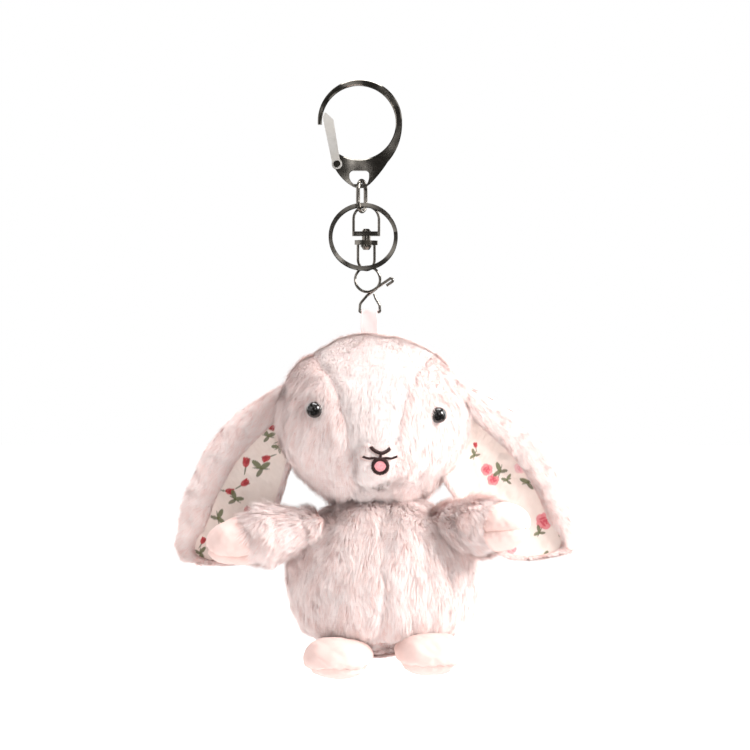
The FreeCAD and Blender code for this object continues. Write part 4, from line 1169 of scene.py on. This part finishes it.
def closed_curve(points, count):
    """Even points on a smooth closed curve through the given ones; extra columns go along with it."""
    points = np.asarray(points, float)
    n = len(points)
    t = np.linspace(0, n, count * 4, endpoint=False)
    i = np.floor(t).astype(int)
    f = (t - i)[:, None]
    a, b, c, d = (points[(i + k) % n] for k in (-1, 0, 1, 2))
    square, cube = 2 * a - 5 * b + 4 * c - d, 3 * b - a - 3 * c + d
    fine = 0.5 * (2 * b + (c - a) * f + square * f ** 2 + cube * f ** 3)
    step = np.linalg.norm(np.diff(fine[:, :2], axis=0, append=fine[:1, :2]), axis=1)
    along = np.concatenate([[0], np.cumsum(step)])
    even = np.linspace(0, along[-1], count, endpoint=False)
    fine = np.concatenate([fine, fine[:1]])
    return np.stack([np.interp(even, along, fine[:, k]) for k in range(points.shape[1])], -1)


def ear_shape(side):
    """Outline of the ear with the width of its rim, and the place on the ear's spine that each point of the
    outline faces. The two sides of the ear share the same places, so the rings close along the spine."""
    outline = [(x, z, rim) for (x, z), rim in zip(EAR_OUTSIDE + EAR_INSIDE[side], EAR_RIM)]
    edge = closed_curve(outline, EAR_EDGE_POINTS)
    start, end = np.array(EAR_SPINE[0]), np.array(EAR_SPINE[1])
    tip = int(np.argmax((edge[:, :2] - start) @ (end - start)))
    edge = np.roll(edge, -tip, axis=0)
    half = EAR_EDGE_POINTS // 2
    steps = np.abs((np.arange(EAR_EDGE_POINTS) + half) % EAR_EDGE_POINTS - half)
    t = 1 - np.clip((steps - TIP_FAN) / (half - TIP_FAN - ROOT_FAN), 0, 1)
    return edge[:, :2], edge[:, 2], start + t[:, None] * (end - start)


def ear_tilt(side, x, z, angle):
    """Only the right ear is lifted: its places turned by an angle about its root."""
    if side == "left":
        return x, z
    pivot = joint_place("ear_right_flap")
    dx, dz = x - pivot[0], z - pivot[2]
    c, s = math.cos(angle), math.sin(angle)
    return pivot[0] + dx * c + dz * s, pivot[2] - dx * s + dz * c


def place_ear(side, points):
    """Ear points, measured outwards from the head's centre, in the row frame."""
    x, z = ear_tilt(side, HEAD_CENTRE[0] + SIGN[side] * points[..., 0], points[..., 2], -RIGHT_EAR_LIFT)
    return np.stack([x, points[..., 1], z], -1)


def ear_front_y(depth):
    """Cupped front of the ear, from the edge (0) to the spine (1)."""
    return EAR_FRONT + EAR_CUP * (1 - (1 - depth) ** 2.2)


def ear_rings(edge, spine, depths, heights):
    """Rings between the outline and the spine; depths and heights may differ along the outline."""
    rings = []
    for depth, height in zip(depths, heights):
        depth = np.broadcast_to(depth, len(edge))[:, None]
        flat = edge * (1 - depth) + spine * depth
        height = np.broadcast_to(height, len(edge))
        rings.append(np.stack([flat[:, 0], height, flat[:, 1]], -1))
    rings = np.array(rings)
    return np.concatenate([rings, rings[:, :1]], axis=1)


def ear_comb(side, points):
    """Pile runs down the ear and out over its edge."""
    down = np.subtract(EAR_SPINE[1], EAR_SPINE[0])
    way = unit(np.array([SIGN[side] * down[0], 0, down[1]]))
    middle_line = place_ear(side, np.array([[EAR_SPINE[0][0], 0, EAR_SPINE[0][1]]]))[0]
    rel = points - middle_line
    out = rel - (rel @ way)[:, None] * way
    out[:, 1] = 0
    return way + 0.25 * unit(out)


def build_ear(side):
    edge, rim, spine = ear_shape(side)
    reach = np.linalg.norm(edge - spine, axis=1)
    inner = np.clip(rim / reach, 0, 0.8)
    lip = FUR_OVERHANG * smooth_step(rim, 1.2, 3.0) / reach
    roll = RIM_ROLL * rim_height(rim)
    front = [(d, ear_front_y(d) - roll * math.sin(math.pi * t) ** 0.7)
             for t in np.linspace(1, 0, 9) for d in [lip + (inner - lip) * t]]
    pocket = [(d, ear_front_y(d) + 1.7) for d in (1.0, 0.85, 0.7, 0.55)]
    tucked = [(inner, ear_front_y(inner) + 1.2)]
    side_edge = [(lip - 0.02, EAR_FRONT + 1.0)]
    back = [(d, ear_front_y(d) + EAR_BACK * (1 - 0.4 * (1 - t) ** 3))
            for t in (0.02, 0.1, 0.25, 0.45, 0.7, 1.0) for d in [lip + (1 - lip) * t]]
    profile = pocket + tucked + front + side_edge + back
    grid = ear_rings(edge, spine, [p[0] for p in profile], [p[1] for p in profile])
    shell = place_ear(side, grid)
    shell = shell + 0.35 * wander(shell, 81, 16.0)[..., None] * np.array([0, 1.0, 0])
    cover = new_object("ear_" + side + "_fabric", shell.reshape(-1, 3), grid_faces(*shell.shape[:2]))
    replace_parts(dress(cover, KNIT), "ear_back_" + side)
    lining = build_lining(side, edge, inner, spine)
    first = len(pocket) + len(tucked)
    lip_row = first + len(front)
    seed = 700 if side == "left" else 740
    rng = np.random.default_rng(seed)
    whole = grid_normals(shell)
    patches = []
    for rows, count, facing in ((slice(first, lip_row + 1), EAR_FRONT_BLADES, -1.0),
                                (slice(lip_row, len(profile)), EAR_BACK_BLADES, 1.0)):
        flip = whole[rows][..., 1].sum() * facing < 0
        patches.append(scatter(shell[rows], -whole[rows] if flip else whole[rows], count, rng))
    roots, normals = (np.concatenate(part) for part in zip(*patches))
    border = place_ear(side, ear_rings(edge, spine, [inner], [ear_front_y(inner)]))[0]
    gap = nearest(roots, border)
    is_front = normals[:, 1] < 0
    lip_gap = nearest(roots, shell[lip_row])
    length = np.where(is_front, EAR_FRONT_PILE * (0.3 + 0.7 * smooth_step(gap, 0.0, 4.0)),
                      EAR_BACK_PILE * (0.4 + 0.6 * smooth_step(lip_gap, 1.0, 10.0)))
    pile = fur("ear_" + side + "_fur", roots, normals, ear_comb(side, roots), length, seed + 1,
               lift=0.34, open_to_light=0.7)
    for piece in (cover, lining, pile):
        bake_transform(piece)


def rim_height(rim):
    """Share of the full roll: a wide rim rolls forward, a narrow one is only a bound edge."""
    return 0.3 + 0.7 * smooth_step(rim, 2.0, 9.0)


# Print on the lining. Each sprig: kind, outwards, height, angle in degrees, size. Places are measured on the
# ear, outwards from the head's centre.
SPRIGS = {
    "left": [
        ("bud", 36.9, -110.4, 200, 1.0), ("leaves", 38.0, -113.6, 15, 1.15),
        ("bud", 32.9, -115.0, 160, 0.9), ("leaves", 34.0, -117.6, -30, 1.0),
        ("bud", 46.0, -123.2, 100, 1.25), ("bud", 38.6, -121.6, -20, 1.1), ("leaves", 40.6, -125.3, 5, 1.5),
        ("bud", 46.5, -130.6, 150, 1.15), ("bud", 52.0, -133.6, 190, 1.1), ("leaves", 50.0, -136.4, 35, 1.25),
        ("leaves", 52.0, -120.2, 60, 0.9), ("leaves", 56.2, -143.2, 80, 1.25),
        ("bud", 59.4, -132.2, 90, 0.6), ("bud", 45.0, -140.5, 30, 1.1), ("leaves", 46.5, -144.0, -10, 1.2),
        ("bud", 61.6, -151.5, 120, 0.9), ("leaves", 62.6, -155.8, 95, 1.0), ("leaves", 57.6, -160.4, 10, 0.9),
        ("rose", 53.5, -152.8, 0, 1.0), ("leaves", 49.0, -157.0, 20, 1.0)],
    "right": [
        ("rose", 39.5, -126.6, 30, 0.95), ("rose", 41.5, -130.4, 80, 0.95), ("rose", 59.0, -146.6, 0, 1.35),
        ("pale_rose", 68.0, -143.8, 40, 1.1), ("pale_rose", 51.5, -126.8, 10, 0.9),
        ("bud", 42.0, -113.0, 120, 0.8), ("leaves", 46.5, -113.8, -35, 1.25),
        ("leaves", 44.3, -127.4, 70, 1.2), ("leaves", 46.6, -130.9, 20, 0.9),
        ("leaves", 54.2, -132.3, 10, 1.3),
        ("leaves", 62.0, -139.8, 15, 1.35), ("leaves", 66.8, -150.2, 75, 1.45),
        ("leaves", 57.0, -150.6, 60, 0.95), ("leaves", 57.6, -160.2, 20, 1.2),
        ("bud", 36.0, -117.5, 100, 0.7), ("leaves", 35.5, -121.0, 70, 0.9),
        ("bud", 50.0, -142.5, 140, 1.0), ("leaves", 47.5, -146.5, 40, 1.1), ("rose", 46.0, -155.5, 60, 1.0)],
}
PRINT_SIZE = 1.2
CREAM = linear(255, 244, 237)[:3]
BUD_RED = linear(200, 62, 70)[:3]
BUD_DARK = linear(158, 40, 50)[:3]
STEM_GREEN = linear(98, 104, 70)[:3]
LEAF_GREEN = linear(116, 124, 88)[:3]
ROSE_PINK = linear(240, 138, 148)[:3]
ROSE_DEEP = linear(222, 92, 108)[:3]
PALE_PINK = linear(250, 204, 210)[:3]
PALE_DEEP = linear(240, 170, 182)[:3]


def painted(colours, flat, shapes):
    """Lay soft-edged ellipses (place, half-sizes, angle, colour, strength) over the colours, in order."""
    for (x, z), (a, b), degrees, colour, strength in shapes:
        c, s = math.cos(math.radians(degrees)), math.sin(math.radians(degrees))
        dx, dz = flat[:, 0] - x, flat[:, 1] - z
        u, v = (dx * c + dz * s) / a, (-dx * s + dz * c) / b
        pointed = np.abs(v) / np.maximum(1 - u * u, 0.02) ** 0.75
        inside = np.where(np.abs(u) < 1, np.maximum(np.abs(u), pointed), 9.0)
        mask = strength * (1 - smooth_step(inside, 0.75, 1.05))[:, None]
        colours += (np.array(colour) - colours) * mask
    return colours


def sprig_shapes(kind, x, z, degrees, size):
    """Ellipses of one printed sprig, at its place on the ear, turned and sized."""
    size = size * PRINT_SIZE
    c, s = math.cos(math.radians(degrees)), math.sin(math.radians(degrees))
    def at(u, v):
        return (x + size * (u * c - v * s), z + size * (u * s + v * c))
    def shape(u, v, a, b, turn, colour, strength=0.92):
        return (at(u, v), (a * size, b * size), degrees + turn, colour, strength)
    if kind == "bud":
        return [shape(-1.5, 0.1, 1.7, 0.24, 0, STEM_GREEN, 0.8),
                shape(0.1, 0, 1.35, 0.95, 0, BUD_RED),
                shape(0.45, 0.4, 0.95, 0.45, 25, BUD_DARK, 0.7),
                shape(0.5, -0.45, 0.9, 0.4, -25, BUD_RED)]
    if kind == "leaves":
        return [shape(0, 0, 1.9, 0.22, 0, STEM_GREEN, 0.8),
                shape(0.9, 0.75, 1.35, 0.62, 35, LEAF_GREEN),
                shape(-0.8, 0.65, 1.25, 0.58, 145, LEAF_GREEN),
                shape(0.2, -0.85, 1.15, 0.5, -60, STEM_GREEN, 0.85)]
    main, deep = (ROSE_PINK, ROSE_DEEP) if kind == "rose" else (PALE_PINK, PALE_DEEP)
    def ring(count, radius, turn, a, b, degrees_on, colour):
        return [shape(radius * math.cos(k * turn), radius * math.sin(k * turn), a, b,
                      360 / count * k + degrees_on, colour, 0.85) for k in range(count)]
    petals = ring(5, 1.1, 1.2566, 1.15, 0.95, 90, main)
    swirl = ring(3, 0.7, 2.1, 0.95, 0.28, 70, deep)
    return petals + [shape(0, 0, 0.95, 0.9, 0, main)] + swirl + [shape(0.1, 0, 0.5, 0.42, 20, deep)]


def build_lining(side, edge, inner, spine):
    """Cotton lining inside the rim: a thin closed sheet that follows the cup of the ear."""
    tuck = inner * LINING_TUCK
    depths = [tuck + (1 - tuck) * t for t in np.linspace(0, 1, LINING_RINGS)]
    fronts = [ear_front_y(d) + 0.15 for d in depths]
    flat = ear_rings(edge, spine, depths, fronts)
    ripple = 0.30 * wander(flat, 91, 13.0) + 0.12 * wander(flat, 92, 5.0)
    calm = smooth_step(np.linspace(0, 1, LINING_RINGS), 0.0, 0.2)[:, None]
    flat[..., 1] += ripple * calm
    outer = place_ear(side, flat)
    rear = place_ear(side, flat + np.array([0, LINING, 0]))
    verts, faces = sheet_solid(outer, rear, (True, False, False, False))
    obj = new_object("ear_lining_" + side + "_cotton", verts, faces)
    points = mesh_points(obj.data) / MM
    flat_places = unplaced(side, points.astype(float))
    colours = np.tile(np.array(CREAM), (len(points), 1))
    for sprig in SPRIGS[side]:
        colours = painted(colours, flat_places, sprig_shapes(*sprig))
    layer = obj.data.color_attributes.new("print", "FLOAT_COLOR", "POINT")
    colours = np.column_stack([colours, np.ones(len(colours))])
    layer.data.foreach_set("color", colours.reshape(-1).astype(np.float32))
    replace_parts(dress(obj, COTTON), "ear_lining_" + side)
    return obj


def unplaced(side, points):
    """Places on the ear, outwards and up, of points in the row frame."""
    x, z = ear_tilt(side, points[:, 0], points[:, 2], RIGHT_EAR_LIFT)
    return np.stack([SIGN[side] * (x - HEAD_CENTRE[0]), z], -1)


# ---- ribbon ----------------------------------------------------------------------------------

RIBBON_PLY = 0.36
RIBBON_FOLD = 0.8


def build_ribbon():
    """Satin ribbon folded over the clasp's bar: one band with a thick woven edge each side."""
    low, high = span("ribbon_loop")
    points = node_points("ribbon_loop")
    top = points[points[:, 2] > high[2] - 0.4]
    direction = np.linalg.svd(top[:, :2] - top[:, :2].mean(0))[2][0]
    direction = direction * np.sign(direction[0])
    across = np.array([direction[0], direction[1], 0])
    away = np.array([-direction[1], direction[0], 0])
    width = ((points - points.mean(0)) @ across).max() * 2
    centre = points.mean(0)
    ply, radius = RIBBON_PLY, RIBBON_FOLD
    foot = low[2] - 1.0
    bend_z = high[2] - radius - ply / 2
    turn = np.linspace(0, math.pi, 17)
    drop = np.linspace(1, 0, 26)[:-1]
    line = [(-radius - 0.15 * t, bend_z + (foot - bend_z) * t) for t in drop]
    line += [(-radius * math.cos(a), bend_z + radius * math.sin(a)) for a in turn]
    line += [(radius + 0.15 * t, bend_z + (foot - bend_z) * t) for t in drop[::-1]]
    line = np.array(line)
    share = np.linspace(-1, 1, 29)
    grid, back = [], []
    tangent = unit(np.gradient(line, axis=0))
    normal = np.stack([-tangent[:, 1], tangent[:, 0]], -1)
    for (d, z), (nx, nz) in zip(line, normal):
        narrow = 1 - 0.05 * smooth_step(np.array(z), bend_z - 3, bend_z + 0.5)
        thick = ply / 2 * (1 + 0.45 * (np.abs(share) > 0.9))
        wave = 0.10 * np.sin(share * 2.4 + z * 0.5)
        place = centre * np.array([1, 1, 0]) + share[:, None] * across * width / 2 * narrow
        spot = place + (d + wave)[:, None] * away + np.array([0, 0, z])
        shift = nx * away + nz * np.array([0, 0, 1.0])
        grid.append(spot + thick[:, None] * shift)
        back.append(spot - thick[:, None] * shift)
    obj = new_object("satin_ribbon_band", *sheet_solid(np.array(grid), np.array(back)))
    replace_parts(dress(obj, SATIN), "ribbon_loop")
    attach(obj, "plush")


# ---- CAD nodes that stay ---------------------------------------------------------------------

def dress_cad_nodes():
    finishes = {
        CHAIN: ("clip_body", "gate_pin", "connector_link", "key_ring", "swivel_upper_yoke",
                "swivel_rivet", "swivel_lower_yoke", "wire_clasp"),
        GATE: ("clip_gate",),
        STEEL: ("gate_spring",),
        BEAD: ("eye_left", "eye_right"),
        WASHER: ("eye_washer_left", "eye_washer_right"),
    }
    for material, nodes in finishes.items():
        for name in nodes:
            data = frame["nodes"][name].data
            data.materials.clear()
            data.materials.append(material)


# ---- stage -----------------------------------------------------------------------------------

def plain(name, strength, diffuse):
    """Even white that glows by strength, over a grey of the diffuse value."""
    n = Nodes(name, Roughness=1.0, Emission_Strength=strength)
    n.shader.inputs["Base Color"].default_value = (diffuse, diffuse, diffuse, 1)
    n.shader.inputs["Emission Color"].default_value = (1, 1, 1, 1)
    n.shader.inputs["Specular IOR Level"].default_value = 0.0
    return n.material


def striped_room():
    """Dark walls with soft bright bands, for the plating to reflect."""
    n = Nodes("dark_room_bands", Roughness=1.0, Emission_Strength=1.0)
    n.shader.inputs["Base Color"].default_value = (0, 0, 0, 1)
    n.shader.inputs["Specular IOR Level"].default_value = 0.0
    bands = n.add("TexNoise", Scale=0.42, Detail=1.0)
    n.link(n.coordinates(), bands.inputs["Vector"])
    glow = n.ramp(bands.outputs["Fac"], [(0.52, (0.06, 0.058, 0.054, 1)), (0.6, (1.2, 1.19, 1.16, 1))])
    n.link(glow, n.shader.inputs["Emission Color"])
    return n.material


def build_stage():
    """Pale floor below the hanging rabbit, a white surround that only the camera sees, and a dark room that
    only shows in reflections, so the plating looks dark between the lights."""
    def shell(name, segments, radius, material, unseen):
        bpy.ops.mesh.primitive_uv_sphere_add(segments=segments, ring_count=segments // 2, radius=radius)
        made = bpy.context.object
        made.name = name
        made.data.materials.append(material)
        for ray in ("diffuse", "transmission", "shadow", unseen):
            setattr(made, "visible_" + ray, False)
        return made
    surround = shell("backdrop", 64, 6.0, plain("backdrop_white", 1.0, 0.0), "glossy")
    bpy.ops.mesh.primitive_circle_add(vertices=96, radius=4.5, fill_type="NGON")
    floor = bpy.context.object
    floor.name = "floor"
    floor.location.z = cad_low.z - 0.03
    floor.data.materials.append(plain("floor_white", 0.97, 0.3))
    floor.visible_glossy = False
    dark = shell("dark_room", 48, 5.5, striped_room(), "camera")


def area_light(name, place, size, power, colour=(1, 1, 1)):
    """Rectangular light at a place, aimed at the middle of the keychain."""
    data = bpy.data.lights.new(name, "AREA")
    data.shape = "RECTANGLE"
    data.size, data.size_y = size
    data.energy = power
    data.color = colour
    light = placed(name, data)
    light.location = place
    light.rotation_euler = ((cad_low + cad_high) / 2 - Vector(place)).to_track_quat("-Z", "Y").to_euler()
    light.visible_camera = False


def build_lights():
    area_light("key", (0.85, -0.45, 0.45), (0.5, 0.5), 18.0, (1.0, 0.985, 0.97))
    area_light("fill_left", (-0.75, -0.45, 0.1), (0.5, 0.9), 1.3, (1.0, 0.96, 0.95))
    area_light("top", (0.05, 0.1, 0.8), (0.7, 0.5), 8.0)
    area_light("rim_right", (0.7, 0.35, 0.1), (0.4, 0.8), 4.0)
    area_light("front_strip", (0.24, -1.05, 0.20), (0.10, 0.5), 0.6)
    area_light("back_left", (-0.55, 0.6, 0.2), (0.5, 0.6), 2.0)
    world = bpy.data.worlds.new("studio")
    world.use_nodes = True
    background = world.node_tree.nodes["Background"]
    background.inputs["Color"].default_value = (1.0, 0.96, 0.945, 1)
    background.inputs["Strength"].default_value = 0.30
    bpy.context.scene.world = world


def build_camera():
    """Long lens in front of the keychain, level with the middle of the picture."""
    data = bpy.data.cameras.new("camera")
    data.lens = 135.0
    data.sensor_width = 36.0
    camera = placed("camera", data)
    camera.location = (0.00587, -1.019, -0.0914)
    camera.rotation_euler = (math.pi / 2, 0, 0)
    bpy.context.scene.camera = camera


build_camera()
build_lights()
build_stage()
dress_cad_nodes()
build_ribbon()
head_form = build_head()
build_face(head_form)
build_body()
build_tail()
for each_side in SIDES:
    build_arm(each_side)
    build_foot(each_side)
    build_ear(each_side)
bpy.context.scene.view_settings.view_transform = "Standard"
